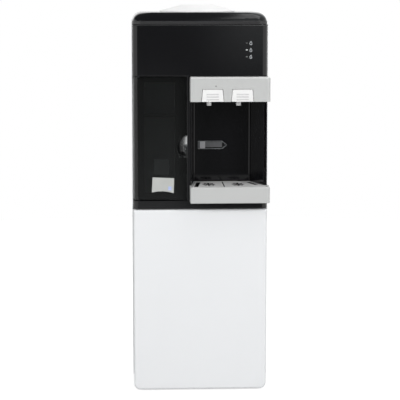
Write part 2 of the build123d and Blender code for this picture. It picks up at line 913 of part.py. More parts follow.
def grille_plan():
    """Corners of the grille: straight sides that follow the bay, clear of the tray's corners.

    The last three are its front right, back right and back left corners."""
    inset = tray_rim + grille_gap
    front = y_trim + inset
    back = y_bay - tray_back_gap - inset
    neck = y_front - tray_gap - inset
    left = bay_left + 2 * tray_gap + inset
    right = bay_right - 2 * tray_gap - inset
    slope_left = bay_taper_left / bay_depth
    slope_right = bay_taper_right / bay_depth
    start = fascia_left + inset
    reach = left - slope_left * (neck - front)
    corner = [(reach, front)]
    if reach < start:
        corner = [(start, neck - (left - start) / slope_left), (start, front)]
    return [
        *corner,
        (right + slope_right * (neck - front), front),
        (right - slope_right * (back - neck), back),
        (left + slope_left * (back - neck), back),
    ]


def petal(turn):
    """One drain slot of a rosette, turned about its middle and drawn out in depth."""
    side = [
        (rosette_inner + petal_waist, petal_width / 2),
        (rosette_outer - petal_tip_length, petal_tip / 2),
    ]
    outline = [(rosette_inner, 0), *((r, -half) for r, half in side), (rosette_outer, 0), *side[::-1]]
    along, across = math.cos(turn), math.sin(turn)
    return make_face(Polyline(
        *((r * along - s * across, rosette_stretch * (r * across + s * along)) for r, s in outline),
        close=True,
    ))


def finger_hole(front, back, inward, span):
    """Slanted hole along a side of the grille, to lift it by."""

    def corner(share, across):
        x = front[0] + share * (back[0] - front[0])
        y = front[1] + share * (back[1] - front[1])
        return (x + inward * across, y)

    near, far = finger_slot_inset, finger_slot_inset + finger_slot
    places = [corner(span[0], near), corner(span[0], far), corner(span[1], far), corner(span[1], near)]
    return make_face(Polyline(*(places if inward > 0 else places[::-1]), close=True))


def drip_grille():
    """Loose plate over the tray with a slotted rosette under each nozzle."""
    corners = grille_plan()
    z0 = z_tray_top - grille_drop - grille_thickness + rest_gap
    below, above = z0 - overcut, z0 + 2 * grille_thickness
    body = raised(make_face(Polyline(*corners, close=True)), z0, z0 + grille_thickness)
    for x in tap_xs:
        y = tap_y + rosette_back
        for slot in range(rosette_slots):
            turn = 2 * math.pi * slot / rosette_slots
            body -= raised(Pos(x, y) * petal(turn), below, above)
        body = drilled(body, x, y, rosette_hole, below, above)
    body -= raised(finger_hole(corners[0], corners[-1], 1, finger_slot_left), below, above)
    body -= raised(finger_hole(corners[-3], corners[-2], -1, finger_slot_right), below, above)
    split = sum(tap_xs) / 2
    body -= block(
        split - split_width / 2, split + split_width / 2, y_trim + split_end, y_bay - split_end,
        below, above,
    )
    return body


# Cup cupboard


def cup_door():
    """Smoked door that wraps the left corner and swings on two pins."""
    inner = corner_radius - wall
    hinge = (hinge_x, hinge_y)
    outline = [
        Line((door_right, y_front), (hinge_x, y_front)),
        CenterArc(hinge, corner_radius, 270, -90),
        Line((hinge_x - corner_radius, hinge_y), (hinge_x - inner, hinge_y)),
        CenterArc(hinge, inner, 180, 90),
        Line((hinge_x, y_front + wall), (door_right, y_front + wall)),
        Line((door_right, y_front + wall), (door_right, y_front)),
    ]
    body = raised(make_face(Curve() + outline), z_door, z_door_top)
    back = y_front + door_return
    body += block(door_right - wall, door_right, y_front, back, z_door, z_door_top)
    rim = extrude(
        Plane.XZ.offset(-y_front) * Ellipse(pull_width + wall, pull_height / 2 + wall), -door_return
    )
    left = block(-3 * pull_width, 0, y_front, back, -pull_height, pull_height)
    body += Pos(door_right, 0, z_pull) * (rim & left)
    for z, boss_low in ((z_door, z_door), (z_door_top - wall, z_door_top - boss_height)):
        body += block(hinge_x, door_right, y_front, back, z, z + wall)
        corner = block(hinge_x - corner_radius, hinge_x, y_front, hinge_y, z, z + wall)
        body += upright(hinge_x, hinge_y, corner_radius, z, z + wall) & corner
        body += upright(hinge_x, hinge_y, hinge_boss_radius, boss_low, boss_low + boss_height)
    hole = hinge_pin_radius + pivot_clearance
    deep = hinge_pin_grip + pivot_clearance
    body = drilled(body, hinge_x, hinge_y, hole, z_door - overcut, z_door + deep)
    body = drilled(body, hinge_x, hinge_y, hole, z_door_top - deep, z_door_top + overcut)
    oval = Plane.XZ.offset(overcut - y_front) * Ellipse(pull_width, pull_height / 2)
    pull = extrude(oval, -3 * door_return)
    return body - Pos(door_right, 0, z_pull) * pull


def door_pins():
    """Upper and lower door pivots, each with a head inside the moulding."""
    low = upright(hinge_x, hinge_y, hinge_pin_radius, z_rim_top - wall, z_door + hinge_pin_grip)
    low += upright(hinge_x, hinge_y, hinge_head, z_rim_top - wall - hinge_head_height, z_rim_top - wall)
    top = upright(hinge_x, hinge_y, hinge_pin_radius, z_door_top - hinge_pin_grip, z_frame_top + wall)
    head_top = z_frame_top + wall + hinge_head_height
    top += upright(hinge_x, hinge_y, hinge_head, z_frame_top + wall, head_top)
    return Compound(children=[low, top])


def cupboard_liner():
    """White tub behind the door, with two ledges for the shelf."""
    thick = liner_wall
    body = block(
        cupboard_left - thick, jamb_left + thick, y_frame, y_cupboard + thick,
        z_cupboard - thick, z_cupboard_top + thick,
    )
    body -= block(
        cupboard_left, jamb_left, y_frame - overcut, y_cupboard, z_cupboard, z_cupboard_top
    )
    for x0, x1 in ((cupboard_left, cupboard_left + shelf_ledge), (jamb_left - shelf_ledge, jamb_left)):
        body += block(x0, x1, y_frame + shelf_ledge, y_cupboard, z_shelf - shelf_ledge, z_shelf)
    return body


def cup_shelf():
    """Slotted shelf on the cupboard's ledges."""
    body = block(
        cupboard_left + shelf_gap, jamb_left - shelf_gap, y_frame + shelf_ledge, y_cupboard - shelf_gap,
        z_shelf, z_shelf + shelf_thickness,
    )
    middle = (cupboard_left + jamb_left) / 2
    for slot in range(shelf_slots):
        x = middle + (slot - (shelf_slots - 1) / 2) * shelf_slot_pitch
        place = Pos(x, (y_frame + y_cupboard) / 2, z_shelf)
        body -= place * Box(slot_width, shelf_slot_length, 4 * shelf_thickness)
    return body


def door_strike():
    """Steel plate on the inside of the door."""
    x = (jamb_left + post_left) / 2
    return block(
        x - magnet_width / 2, x + magnet_width / 2, y_front + wall, y_front + wall + strike,
        z_magnet, z_magnet + magnet_length,
    )


def door_magnet():
    """Magnet on the jamb that holds the door shut."""
    x = (jamb_left + post_left) / 2
    return block(
        x - magnet_width / 2, x + magnet_width / 2, y_front + wall + strike + catch_gap,
        y_front + jamb_setback, z_magnet, z_magnet + magnet_length,
    )


# Indicators


def indicator_board():
    """Small circuit board behind the lamps."""
    y = y_front + wall + board_stand
    low = lamp_zs[-1] - board_margin
    high = lamp_zs[0] + board_margin
    return block(lamp_x - board_width / 2, lamp_x + board_width / 2, y, y + board, low, high)


def indicator_lamps():
    """Three lenses that show through the upper panel."""
    slack = lamp_slack
    lamps = []
    for z in lamp_zs:
        lamps.append(block(
            lamp_x - lamp_width / 2 + slack, lamp_x + lamp_width / 2 - slack,
            y_front + 2 * slack, y_front + wall + board_stand,
            z - lamp_height / 2 + slack, z + lamp_height / 2 - slack,
        ))
    return Compound(children=lamps)


# Top cover and bottle seat


def lid_plan(inset, drawn=0.0):
    """Plan of the lid, drawn in on all sides, with rounder corners at the front."""
    width = 2 * (half_shell - inset - drawn)
    depth = body_depth - 2 * (inset + drawn)
    plan = Pos(0, y_front + body_depth / 2) * Rectangle(width, depth)
    for end, corner in ((0, lid_corner), (-1, lid_rear_corner)):
        plan = fillet(plan.vertices().group_by(Axis.Y)[end], corner - inset + drawn / 2)
    return plan


def lid_crown(inset, z_top):
    """Domed upper part of the lid, through plans that draw in along an arc."""
    start = math.radians(lid_shoulder)
    plans = []
    for section in range(lid_sections + 1):
        slope = start * (1 - section / lid_sections)
        drawn = lid_radius * (math.sin(start) - math.sin(slope))
        plans.append(Pos(0, 0, z_top - lid_radius * (1 - math.cos(slope))) * lid_plan(inset, drawn))
    return loft(plans)


def top_cover():
    """Black lid: a rim, a domed crown set in from it and an opening for the bottle seat."""
    inset = lid_step + wall
    body = raised(lid_plan(0.0), z_lid, z_lid_step)
    body += lid_crown(lid_step, z_deck)
    body -= raised(lid_plan(inset), z_lid - wall, z_lid_step - wall)
    body -= lid_crown(inset, z_deck - wall)
    return drilled(body, 0, seat_y, deck_hole, z_lid, z_deck + wall)


def bottle_seat():
    """White collar that takes the bottle's neck, with a skirt in the lid's opening."""
    lift = z_deck + rest_gap
    skirt = deck_hole - rest_gap * 3
    throat = throat_radius + throat_wall
    foot = z_crown - throat_length
    body = turned(0, seat_y, [
        (throat_radius, foot),
        (throat_radius, z_crown - 2 * throat_wall),
        (throat_radius + 2 * throat_wall, z_crown),
        (seat_crown, z_crown),
        (seat_flange - throat_wall, lift + throat_wall),
        (seat_flange, lift + seat_flange_edge),
        (seat_flange, lift),
        (skirt, lift),
        (skirt, z_deck - seat_lip),
        (skirt - throat_wall, z_deck - seat_lip),
        (skirt - throat_wall, lift),
        (seat_crown, z_crown - throat_wall),
        (throat + throat_wall, z_crown - throat_wall),
        (throat, z_crown - 3 * throat_wall),
        (throat, foot),
    ])
    crown = body.edges().group_by(Axis.Z)[-1]
    return fillet(crown, throat_wall / 3)


def tank_cap():
    """Foam lid on the cold tank."""
    body = upright(0, tank_y, jacket_radius, z_tank_top, z_tank_top + cap_height)
    hole = throat_radius + throat_wall + throat_gap
    return drilled(body, 0, seat_y, hole, z_tank_top - overcut, z_tank_top + cap_height + overcut)


# Cold tank


def spigot_down(x, y, z0, z1):
    """Hose spigot pointing down."""
    return ring(x, y, spigot_radius, spigot_radius - spigot_wall, z0, z1)


def cold_tank():
    """Open steel tank with spigots for the tap, the hot feed and the drain."""
    inner = tank_radius - tank_wall
    body = turned(0, tank_y, [
        (0, z_tank),
        (tank_radius, z_tank),
        (tank_radius, z_tank_top),
        (inner, z_tank_top),
        (inner, z_tank + tank_wall),
        (0, z_tank + tank_wall),
    ])
    bore = spigot_radius - spigot_wall
    tap_x = tap_xs[0]
    reach = math.sqrt(inner**2 - tap_x**2)
    body += bar_y(spigot_front, tank_y - reach, spigot_radius, tap_x, z_inlet)
    body -= bar_y(spigot_front - overcut, tank_y - reach + 2 * tank_wall + overcut, bore, tap_x, z_inlet)
    for x in (0, drain_cold_x):
        body += spigot_down(x, tank_y, tank_deck_z - spigot_length, z_tank)
        body = drilled(body, x, tank_y, bore, z_tank - overcut, z_tank + 2 * tank_wall)
    return body


def cold_tank_jacket():
    """Foam jacket round the tank and its coil."""
    body = upright(0, tank_y, jacket_radius, z_jacket, z_tank_top)
    body = drilled(body, 0, tank_y, jacket_bore, z_tank, z_tank_top + overcut)
    hole = spigot_radius + rest_gap
    body -= bar_y(spigot_front, tank_y - tank_radius / 2, hole, tap_xs[0], z_inlet)
    for x in (0, drain_cold_x):
        body = drilled(body, x, tank_y, hole, z_jacket - overcut, z_tank + overcut)
    return drilled(body, -coil_radius, tank_y, pipe_radius + rest_gap, z_jacket - overcut, z_tank + overcut)


def evaporator_coil():
    """Copper coil wound round the cold tank."""
    path = Helix(coil_pitch, coil_pitch * coil_turns, coil_radius)
    tube = sweep(Plane(path @ 0, z_dir=path % 0) * Circle(coil_tube), path=path, is_frenet=True)
    return Pos(0, tank_y, z_coil) * Rot(0, 0, 180) * tube


def tank_deck():
    """Steel deck between the side panels that carries the cold tank."""
    back = y_back - 2 * sheet
    body = block(-inner_side, inner_side, y_deck, back, tank_deck_z, tank_deck_z + sheet)
    for low, high in ((-inner_side, sheet - inner_side), (inner_side - sheet, inner_side)):
        body += block(low, high, y_deck, back, tank_deck_z - deck_lip, tank_deck_z)
    for x in (0, drain_cold_x):
        body = drilled(body, x, tank_y, hose_radius, tank_deck_z - overcut, z_jacket + overcut)
    hole = pipe_radius + rest_gap
    return drilled(body, -coil_radius, tank_y, hole, tank_deck_z - overcut, z_jacket + overcut)


# Hot tank


def hot_deck():
    """Steel bracket on the right side panel that carries the hot tank."""
    reach = hot_radius + hot_deck_rim
    body = block(hot_x - reach, inner_side, hot_y - reach, hot_y + reach, hot_deck_z, z_hot)
    body += block(
        inner_side - sheet, inner_side, hot_y - reach, hot_y + reach, hot_deck_z - deck_lip, hot_deck_z
    )
    return drilled(body, hot_x, hot_y, hose_radius, hot_deck_z - overcut, z_hot + overcut)


def hot_tank():
    """Closed steel tank with outlet, feed and drain spigots."""
    body = upright(hot_x, hot_y, hot_radius, z_hot, z_hot_top)
    body = fillet(body.edges().group_by(Axis.Z)[-1], hot_radius / 6)
    room = upright(hot_x, hot_y, hot_radius - tank_wall, z_hot + tank_wall, z_hot_top - tank_wall)
    room = fillet(room.edges().group_by(Axis.Z)[-1], hot_radius / 6 - tank_wall)
    bore = spigot_radius - spigot_wall
    root = hot_radius - 2 * tank_wall
    front = hot_y - hot_radius - spigot_length
    left = hot_x - hot_radius - spigot_length
    foot = hot_deck_z - spigot_length
    body += bar_y(front, hot_y - root, spigot_radius, hot_x, z_hot_outlet)
    body += bar_x(left, hot_x - root, spigot_radius, hot_y, z_hot_inlet)
    body += upright(hot_x, hot_y, spigot_radius, foot, z_hot + tank_wall)
    body -= room
    body -= bar_y(front - overcut, hot_y - root + overcut, bore, hot_x, z_hot_outlet)
    body -= bar_x(left - overcut, hot_x - root + overcut, bore, hot_y, z_hot_inlet)
    return drilled(body, hot_x, hot_y, bore, foot - overcut, z_hot + 2 * tank_wall)


def heater_band():
    """Electric heater clamped round the hot tank."""
    low = z_hot + heater_rise
    inner = hot_radius + rest_gap / 2
    return ring(hot_x, hot_y, inner + heater_wall, inner, low, low + heater_height)


# Hoses and drains


def cold_hose():
    """Hose from the cold tank to the left tap."""
    tube = bar_y(spigot_end - hose_grip, spigot_front + hose_grip, hose_radius, tap_xs[0], z_inlet)
    y_bore = (spigot_end - spigot_length, spigot_front + spigot_length)
    return tube - bar_y(*y_bore, hose_bore, tap_xs[0], z_inlet)


def hot_hose():
    """Hose from the hot tank, up behind the bay and forward to the right tap."""
    return pipe([
        (hot_x, hot_y - hot_radius - spigot_length + hose_grip, z_hot_outlet),
        (hot_x, y_hose, z_hot_outlet),
        (hot_x, y_hose, z_inlet),
        (hot_x, spigot_end - hose_grip, z_inlet),
    ], 2 * hose_radius, hose_radius, hose_bore)


def hot_feed_hose():
    """Hose from the cold tank's feed pipe to the hot tank."""
    return pipe([
        (0, tank_y, tank_deck_z - spigot_length + hose_grip),
        (0, tank_y, z_hot_inlet),
        (hot_x - hot_radius - spigot_length + hose_grip, tank_y, z_hot_inlet),
    ], 2 * hose_radius, hose_radius, hose_bore)


def drain_hoses():
    """Hoses from both tanks to the spouts in the rear panel."""
    tubes = []
    for x, top in ((drain_cold_x, tank_deck_z), (hot_x, hot_deck_z)):
        tubes.append(pipe([
            (x, tank_y, top - spigot_length + hose_grip),
            (x, tank_y, drain_z),
            (x, y_back - spout_body - spigot_length + hose_grip, drain_z),
        ], 2 * hose_radius, hose_radius, hose_bore))
    return Compound(children=tubes)


def drain_spouts():
    """Drain outlets fixed in the rear panel."""
    spouts = []
    for x in (drain_cold_x, hot_x):
        body = bar_y(y_back - spout_body, y_spout, drain_spout_radius, x, drain_z)
        body += bar_y(y_back, y_back + spout_flange, drain_cap_radius, x, drain_z)
        body += bar_y(y_back - spout_body - spigot_length, y_back - spout_body, spigot_radius, x, drain_z)
        bore = spigot_radius - spigot_wall
        body -= bar_y(y_back - spout_body - spigot_length - overcut, y_spout + overcut, bore, x, drain_z)
        spouts.append(body)
    return Compound(children=spouts)


def drain_caps():
    """Screw caps on the drain outlets."""
    caps = []
    for x in (drain_cold_x, hot_x):
        low = y_back + spout_flange
        cap = bar_y(low, low + drain_cap, drain_cap_radius, x, drain_z)
        cap = fillet(cap.edges().group_by(Axis.Y)[-1], drain_cap / 8)
        cap -= bar_y(low - overcut, y_spout + rest_gap, drain_spout_radius + rest_gap, x, drain_z)
        caps.append(cap)
    return Compound(children=caps)


# Machine compartment


def compressor():
    """Welded steel can on its foot plate, with two pipe stubs."""
    z0 = z_compressor + wall
    top = z0 + compressor_height
    seam_z = z0 + compressor_height * can_seam_share
    r = compressor_radius
    body = turned(compressor_x, compressor_y, [
        (0, z0),
        *((r - inside, z0 + rise) for inside, rise in can_foot),
        (r, seam_z),
        (r + compressor_seam, seam_z),
        (r + compressor_seam, seam_z + compressor_seam),
        (r, seam_z + compressor_seam),
        *((r - inside, top - drop) for inside, drop in can_crown),
        (0, top),
    ])
    half_x = compressor_plate_width / 2
    half_y = compressor_plate_depth / 2
    plate = block(
        compressor_x - half_x, compressor_x + half_x, compressor_y - half_y, compressor_y + half_y,
        z_compressor, z0,
    )
    body += fillet(plate.edges().filter_by(Axis.Z), grommet_radius)
    stub = pipe_radius + stub_wall
    body += bar_x(suction_x, compressor_x, stub, compressor_y, z_suction)
    body += bar_x(compressor_x, discharge_x, stub, compressor_y, z_discharge)
    core_top = top - can_core_drop
    core = upright(compressor_x, compressor_y, r - compressor_wall, z_compressor - overcut, core_top)
    core = fillet(core.edges().group_by(Axis.Z)[-1], r / 3)
    return body - core


def relay_cover():
    """Moulded cover over the compressor's terminals, shaped to the can."""
    low = z_compressor + wall + relay_rise
    back = compressor_y + compressor_radius + relay_depth
    half = relay_width / 2
    body = block(
        compressor_x - half, compressor_x + half, compressor_y, back, low, low + relay_height
    )
    body = fillet(body.edges().filter_by(Axis.Z).group_by(Axis.Y)[-1], relay_width / 6)
    body = fillet(body.faces().sort_by(Axis.Y)[-1].edges(), wall / 2)
    above = low + relay_height + overcut
    return drilled(body, compressor_x, compressor_y, compressor_radius, low - overcut, above)


def compressor_grommets():
    """Rubber mounts between the compressor's plate and the base."""
    x = compressor_plate_width / 2 - grommet_radius - grommet_margin
    y = compressor_plate_depth / 2 - grommet_radius - grommet_margin
    mounts = []
    for side in (-1, 1):
        for end in (-1, 1):
            mounts.append(upright(
                compressor_x + side * x, compressor_y + end * y, grommet_radius, z_pan, z_compressor
            ))
    return Compound(children=mounts)


def suction_pipe():
    """Copper return pipe from the coil to the compressor."""
    side = suction_x - 2 * pipe_bend
    turn = z_suction + 4 * pipe_bend
    return pipe([
        (-coil_radius, tank_y, z_coil - coil_tube),
        (-coil_radius, tank_y, turn + 3 * pipe_bend),
        (side, compressor_y, turn),
        (side, compressor_y, z_suction),
        (suction_x, compressor_y, z_suction),
    ], pipe_bend, pipe_radius)


def discharge_pipe():
    """Copper pipe from the compressor out to the condenser."""
    return pipe([
        (discharge_x, compressor_y, z_discharge),
        (condenser_leg_x, compressor_y, z_discharge),
        (condenser_leg_x, condenser_y, z_discharge),
        (condenser_leg_x, condenser_y, z_drier),
    ], pipe_bend, condenser_tube)


def power_box():
    """Terminal box on the right side panel."""
    y1 = y_back - power_box_gap
    body = block(
        inner_side - power_box_width, inner_side, y1 - power_box_depth, y1,
        power_box_z, power_box_z + power_box_height,
    )
    return fillet(body.faces().sort_by(Axis.X)[0].edges(), wall)


# Back


def condenser_tube_run():
    """Serpentine tube behind the rear panel, with a leg down each side."""
    points = [(-condenser_leg_x, condenser_y, z_drier), (-condenser_leg_x, condenser_y, condenser_z)]
    end = condenser_half
    for row in range(condenser_passes):
        z = condenser_z + row * condenser_pitch
        if row:
            points.append((-end, condenser_y, z))
        if row == condenser_passes - 1:
            end = condenser_leg_x
        points.append((end, condenser_y, z))
        end = -end
    points.append((condenser_leg_x, condenser_y, z_drier))
    return pipe(points, condenser_bend, condenser_tube)


def condenser_wires():
    """Steel wires on both faces of the condenser tube."""
    low = condenser_z - wire_overhang
    high = condenser_top + wire_overhang
    offset_y = condenser_tube + wire_radius + wire_gap
    wires = []
    for side in (-1, 1):
        for wire in range(wire_count):
            x = (wire - (wire_count - 1) / 2) * wire_pitch
            wires.append(upright(x, condenser_y + side * offset_y, wire_radius, low, high))
    return Compound(children=wires)


def condenser_clips():
    """Stand-offs between the rear panel and the condenser's wires."""
    reach = condenser_y - condenser_tube - 2 * wire_radius - 2 * wire_gap
    clips = []
    for x in (-clip_x, clip_x):
        for z in (condenser_z + clip_height, condenser_top - clip_height):
            clips.append(block(
                x - clip_width / 2, x + clip_width / 2, y_back, reach,
                z - clip_height / 2, z + clip_height / 2,
            ))
    return Compound(children=clips)


def filter_drier():
    """Drier bottle under the condenser's left leg."""
    body = upright(-condenser_leg_x, condenser_y, drier_radius, z_drier - drier_length, z_drier)
    return fillet(body.edges(), drier_radius / 2)


def switch_housings():
    """Frames of the two rocker switches in the rear panel."""
    half_x = switch_width / 2
    half_z = switch_height / 2
    frames = []
    for x in switch_xs:
        body = block(
            x - half_x - switch_flange, x + half_x + switch_flange, y_back, y_back + switch_flange,
            switch_z - half_z - switch_flange, switch_z + half_z + switch_flange,
        )
        body += block(
            x - half_x + rest_gap, x + half_x - rest_gap, y_back - switch_depth, y_back,
            switch_z - half_z + rest_gap, switch_z + half_z - rest_gap,
        )
        body -= block(
            x - half_x + switch_frame, x + half_x - switch_frame,
            y_back - switch_depth + switch_frame, y_back + 2 * switch_flange,
            switch_z - half_z + switch_frame, switch_z + half_z - switch_frame,
        )
        reach = trunnion_end + trunnion_play
        body -= bar_x(x - reach, x + reach, trunnion + pivot_clearance, y_rocker, switch_z)
        frames.append(body)
    return Compound(children=frames)


def rocker(x):
    """Switch rocker, drawn pressed at its upper end."""
    half = switch_width / 2 - switch_frame - rocker_gap
    tall = switch_height / 2 - switch_frame - rocker_end_gap
    points = [
        (-rocker_root, -tall * rocker_root_share),
        (rocker_rise, -tall),
        (rocker_rise - rocker_dish, 0),
        (rocker_rise, tall),
        (-rocker_root, tall * rocker_root_share),
    ]
    face = Plane.YZ * make_face(Polyline(*points, close=True))
    body = Pos(-half, 0, 0) * extrude(face, 2 * half)
    body += bar_x(-trunnion_end, trunnion_end, trunnion, 0, 0)
    return Pos(x, y_rocker, switch_z) * Rot(rocker_tilt, 0, 0) * body


def cord_gland():
    """Bushing in the rear panel where the mains lead would enter."""
    body = bar_y(y_back - gland_flange, y_back, gland_neck, gland_x, gland_z)
    body += bar_y(y_back, y_back + gland_flange, gland_radius, gland_x, gland_z)
    body += bar_y(y_back + gland_flange, y_back + gland_nose, gland_neck, gland_x, gland_z)
    return body - bar_y(y_back - gland_nose, y_back + 2 * gland_nose, gland_bore, gland_x, gland_z)


PIECES = {
    "base_pan": base_pan,
    "feet": feet,
    "left_side_panel": lambda: side_panel(-1),
    "right_side_panel": lambda: side_panel(1),
    "rear_panel": rear_panel,
    "lower_front_panel": lower_front_panel,
    "upper_front_panel": upper_front_panel,
    "front_frame": front_frame,
    "bay_liner": bay_liner,
    "tap_fascia": tap_fascia,
    "left_paddle": lambda: paddle(paddle_xs[0]),
    "right_paddle": lambda: paddle(paddle_xs[1]),
    "paddle_pins": paddle_pins,
    "left_tap_body": lambda: tap_body(tap_xs[0]),
    "right_tap_body": lambda: tap_body(tap_xs[1]),
    "tap_bonnets": tap_bonnets,
    "left_valve_plug": lambda: valve_plug(tap_xs[0]),
    "right_valve_plug": lambda: valve_plug(tap_xs[1]),
    "left_tap_spring": lambda: tap_spring(tap_xs[0]),
    "right_tap_spring": lambda: tap_spring(tap_xs[1]),
    "drip_tray": drip_tray,
    "drip_grille": drip_grille,
    "cup_door": cup_door,
    "door_pins": door_pins,
    "door_strike": door_strike,
    "door_magnet": door_magnet,
    "cupboard_liner": cupboard_liner,
    "cup_shelf": cup_shelf,
    "indicator_board": indicator_board,
    "indicator_lamps": indicator_lamps,
    "top_cover": top_cover,
    "bottle_seat": bottle_seat,
    "tank_cap": tank_cap,
    "cold_tank": cold_tank,
    "cold_tank_jacket": cold_tank_jacket,
    "evaporator_coil": evaporator_coil,
    "tank_deck": tank_deck,
    "hot_deck": hot_deck,
    "hot_tank": hot_tank,
    "heater_band": heater_band,
    "cold_hose": cold_hose,
    "hot_hose": hot_hose,
    "hot_feed_hose": hot_feed_hose,
    "drain_hoses": drain_hoses,
    "drain_spouts": drain_spouts,
    "drain_caps": drain_caps,
    "compressor": compressor,
    "compressor_grommets": compressor_grommets,
    "relay_cover": relay_cover,
    "suction_pipe": suction_pipe,
    "discharge_pipe": discharge_pipe,
    "power_box": power_box,
    "condenser_tube": condenser_tube_run,
    "condenser_wires": condenser_wires,
    "condenser_clips": condenser_clips,
    "filter_drier": filter_drier,
    "switch_housings": switch_housings,
    "heat_rocker": lambda: rocker(switch_xs[0]),
    "cool_rocker": lambda: rocker(switch_xs[1]),
    "cord_gland": cord_gland,
}


def main():
    os.makedirs("parts", exist_ok=True)
    for name, make in PIECES.items():
        export_step(make(), f"parts/{name}.step")


main()
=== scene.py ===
"""Finished looks of a floor-standing water dispenser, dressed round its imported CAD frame."""

import json
import math

import bmesh
import bpy
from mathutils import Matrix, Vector
from mathutils.bvhtree import BVHTree

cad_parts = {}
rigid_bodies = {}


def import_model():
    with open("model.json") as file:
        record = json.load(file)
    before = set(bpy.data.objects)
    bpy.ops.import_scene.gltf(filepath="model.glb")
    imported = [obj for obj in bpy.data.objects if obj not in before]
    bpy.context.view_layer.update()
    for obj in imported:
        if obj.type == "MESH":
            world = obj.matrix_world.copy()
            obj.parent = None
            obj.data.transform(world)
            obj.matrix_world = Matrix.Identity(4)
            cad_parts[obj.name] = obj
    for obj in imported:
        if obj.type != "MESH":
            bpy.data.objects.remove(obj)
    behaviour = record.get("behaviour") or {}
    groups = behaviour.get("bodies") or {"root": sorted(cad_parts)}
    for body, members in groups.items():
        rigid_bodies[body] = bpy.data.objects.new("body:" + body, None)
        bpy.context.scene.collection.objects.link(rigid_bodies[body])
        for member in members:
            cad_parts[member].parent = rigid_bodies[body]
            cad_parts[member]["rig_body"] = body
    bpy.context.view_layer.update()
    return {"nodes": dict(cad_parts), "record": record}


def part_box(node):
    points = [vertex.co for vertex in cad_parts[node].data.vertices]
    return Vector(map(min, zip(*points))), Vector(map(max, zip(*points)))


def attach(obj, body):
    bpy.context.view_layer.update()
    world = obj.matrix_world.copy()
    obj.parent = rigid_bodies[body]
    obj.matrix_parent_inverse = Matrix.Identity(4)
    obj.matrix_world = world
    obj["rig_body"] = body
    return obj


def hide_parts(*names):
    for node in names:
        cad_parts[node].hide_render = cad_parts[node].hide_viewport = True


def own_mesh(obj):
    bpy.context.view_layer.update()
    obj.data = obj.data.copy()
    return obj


bl_info = {
    "name": "Water Dispenser Finishes",
    "version": (1, 0, 0),
    "blender": (4, 5, 0),
    "location": "View3D > Sidebar > Dispenser",
    "description": "Dresses the packed water dispenser with its finishes, trim and studio",
    "category": "Object",
}

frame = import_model()
SLOT_OF_NODE = {row["node"]: row["material_slot"] for row in frame["record"]["subparts"]}

MM = 0.001

# Meshes: merged corners, softened edges, and how far up a wall's normal may point

MERGE_DISTANCE = 2e-6
FLAT_ANGLE = math.radians(0.4)
CREASE_ANGLE = math.radians(32)
BEVEL_SEGMENTS = 3
WALL_SLOPE = 0.6

# Shader effects

METAL = {"Metallic": 1.0}
BUMP_DISTANCE = 0.1 * MM
BUMP_STRENGTH = 0.35
WIPE_STRETCH = (1.0, 1.0, 0.35)
WIPE_MIDDLE = 0.4
LINE_STRETCH = (0.03, 0.03, 1.0)
DUST_SLOPE = 0.35
DUST_SCALE = 24.0
LAMP_ROWS = ((0.0, 0.10), (0.33, 0.55), (0.67, 0.02))  # each row's start and glow, from below

# Where one finish gives way to another on a CAD piece, in millimetres; several of these bound a
# painted highlight or painted shade

BROW_EDGE = 1.3
FASCIA_BROW = 2.0
RIB_RISE = 1.3
LID_RIM = 8.6
TRAY_WALL = 1.2
PULL_X = -33.0
PULL_Z = 627.0
PULL_FACE = -135.9
PULL_HALF = (27.0, 32.0)

# Windings and wires, in millimetres

SPRING_WIRE = 0.6
SPRING_TURNS = 4.0
COIL_TUBE = 3.4
COIL_TURNS = 6.0
WIRE_RADIUS = 0.8
WIRE_COUNT = 22

# Drain rosettes, in millimetres: how far behind the nozzles they lie, and half the size of the
# dark disc painted as shade in each

ROSETTE_BACK = 10.0
SHADE_DISC_HALF = (7.0, 13.0, 0.4)

# Screws, louvres and grip ribs on the back, in millimetres. The recess is given as shares of a
# screw's radius and height, and a rib's length as a share of its cap's.

SCREW_INSET = 9.0
SCREW_ROWS = 4
RECESS_SHARE = 1 / 3.5
RECESS_SPAN = 1.1
RECESS_RISE = 0.95
VENT_X = -100.0
VENT_Z = 318.0
VENT_PITCH = 12.0
VENT_WIDTH = 84.0
VENT_HEIGHT = 4.0
VENT_COUNT = 9
HOOD_OVERLAP = 4.0
HOOD_HEIGHT = 4.4
HOOD_LIFT = 1.6
GRIP_RIBS = 22
GRIP_SHARE = 0.8

# Printed drops beside the lamps, in millimetres. The hole is a share of the drop, set lower.

LAMP_PITCH = 17.0
DROP_X = 126.0
DROP_WIDTH = 7.0
DROP_HEIGHT = 11.0
DROP_TAPER = 0.9
DROP_BELLY = 1.3
DROP_HOLE = 0.42
DROP_HOLE_SINK = 0.6

# Labels as (x, z) outlines in millimetres: on the door, then in the bay, then the fascia's pip

DOOR_STICKER = (
    (-119.8, 550.0), (-65.6, 547.6), (-66.8, 509.6), (-80.0, 513.2),
    (-94.0, 514.8), (-108.0, 514.2), (-121.8, 512.0),
)
DOOR_FILM = ((-116.5, 595.5), (-77.5, 594.5), (-77.8, 556.0), (-116.8, 556.6))
DOOR_SEAL = ((-80.5, 527.0), (-72.5, 526.6), (-72.9, 516.8), (-80.7, 517.6))
BAY_WALL_Y = -49.0
BAY_LABEL = ((-1.3, 632.2), (60.6, 632.2), (73.0, 622.0), (60.6, 611.8), (-1.3, 611.8))
LABEL_MID = (35.8, 622.0)
LABEL_SHRINK = (0.975, 0.91)
LABEL_PATCH = ((3.1, 631.0), (17.0, 631.0), (17.0, 613.4), (3.1, 613.4))
LABEL_BAND = ((17.0, 629.8), (60.4, 629.8), (60.4, 616.2), (17.0, 616.2))
PIP_X = 37.0
PIP_Z = 780.0
PIP_RADIUS = 1.8

# Corners of the round shapes, and rings of the domed ones

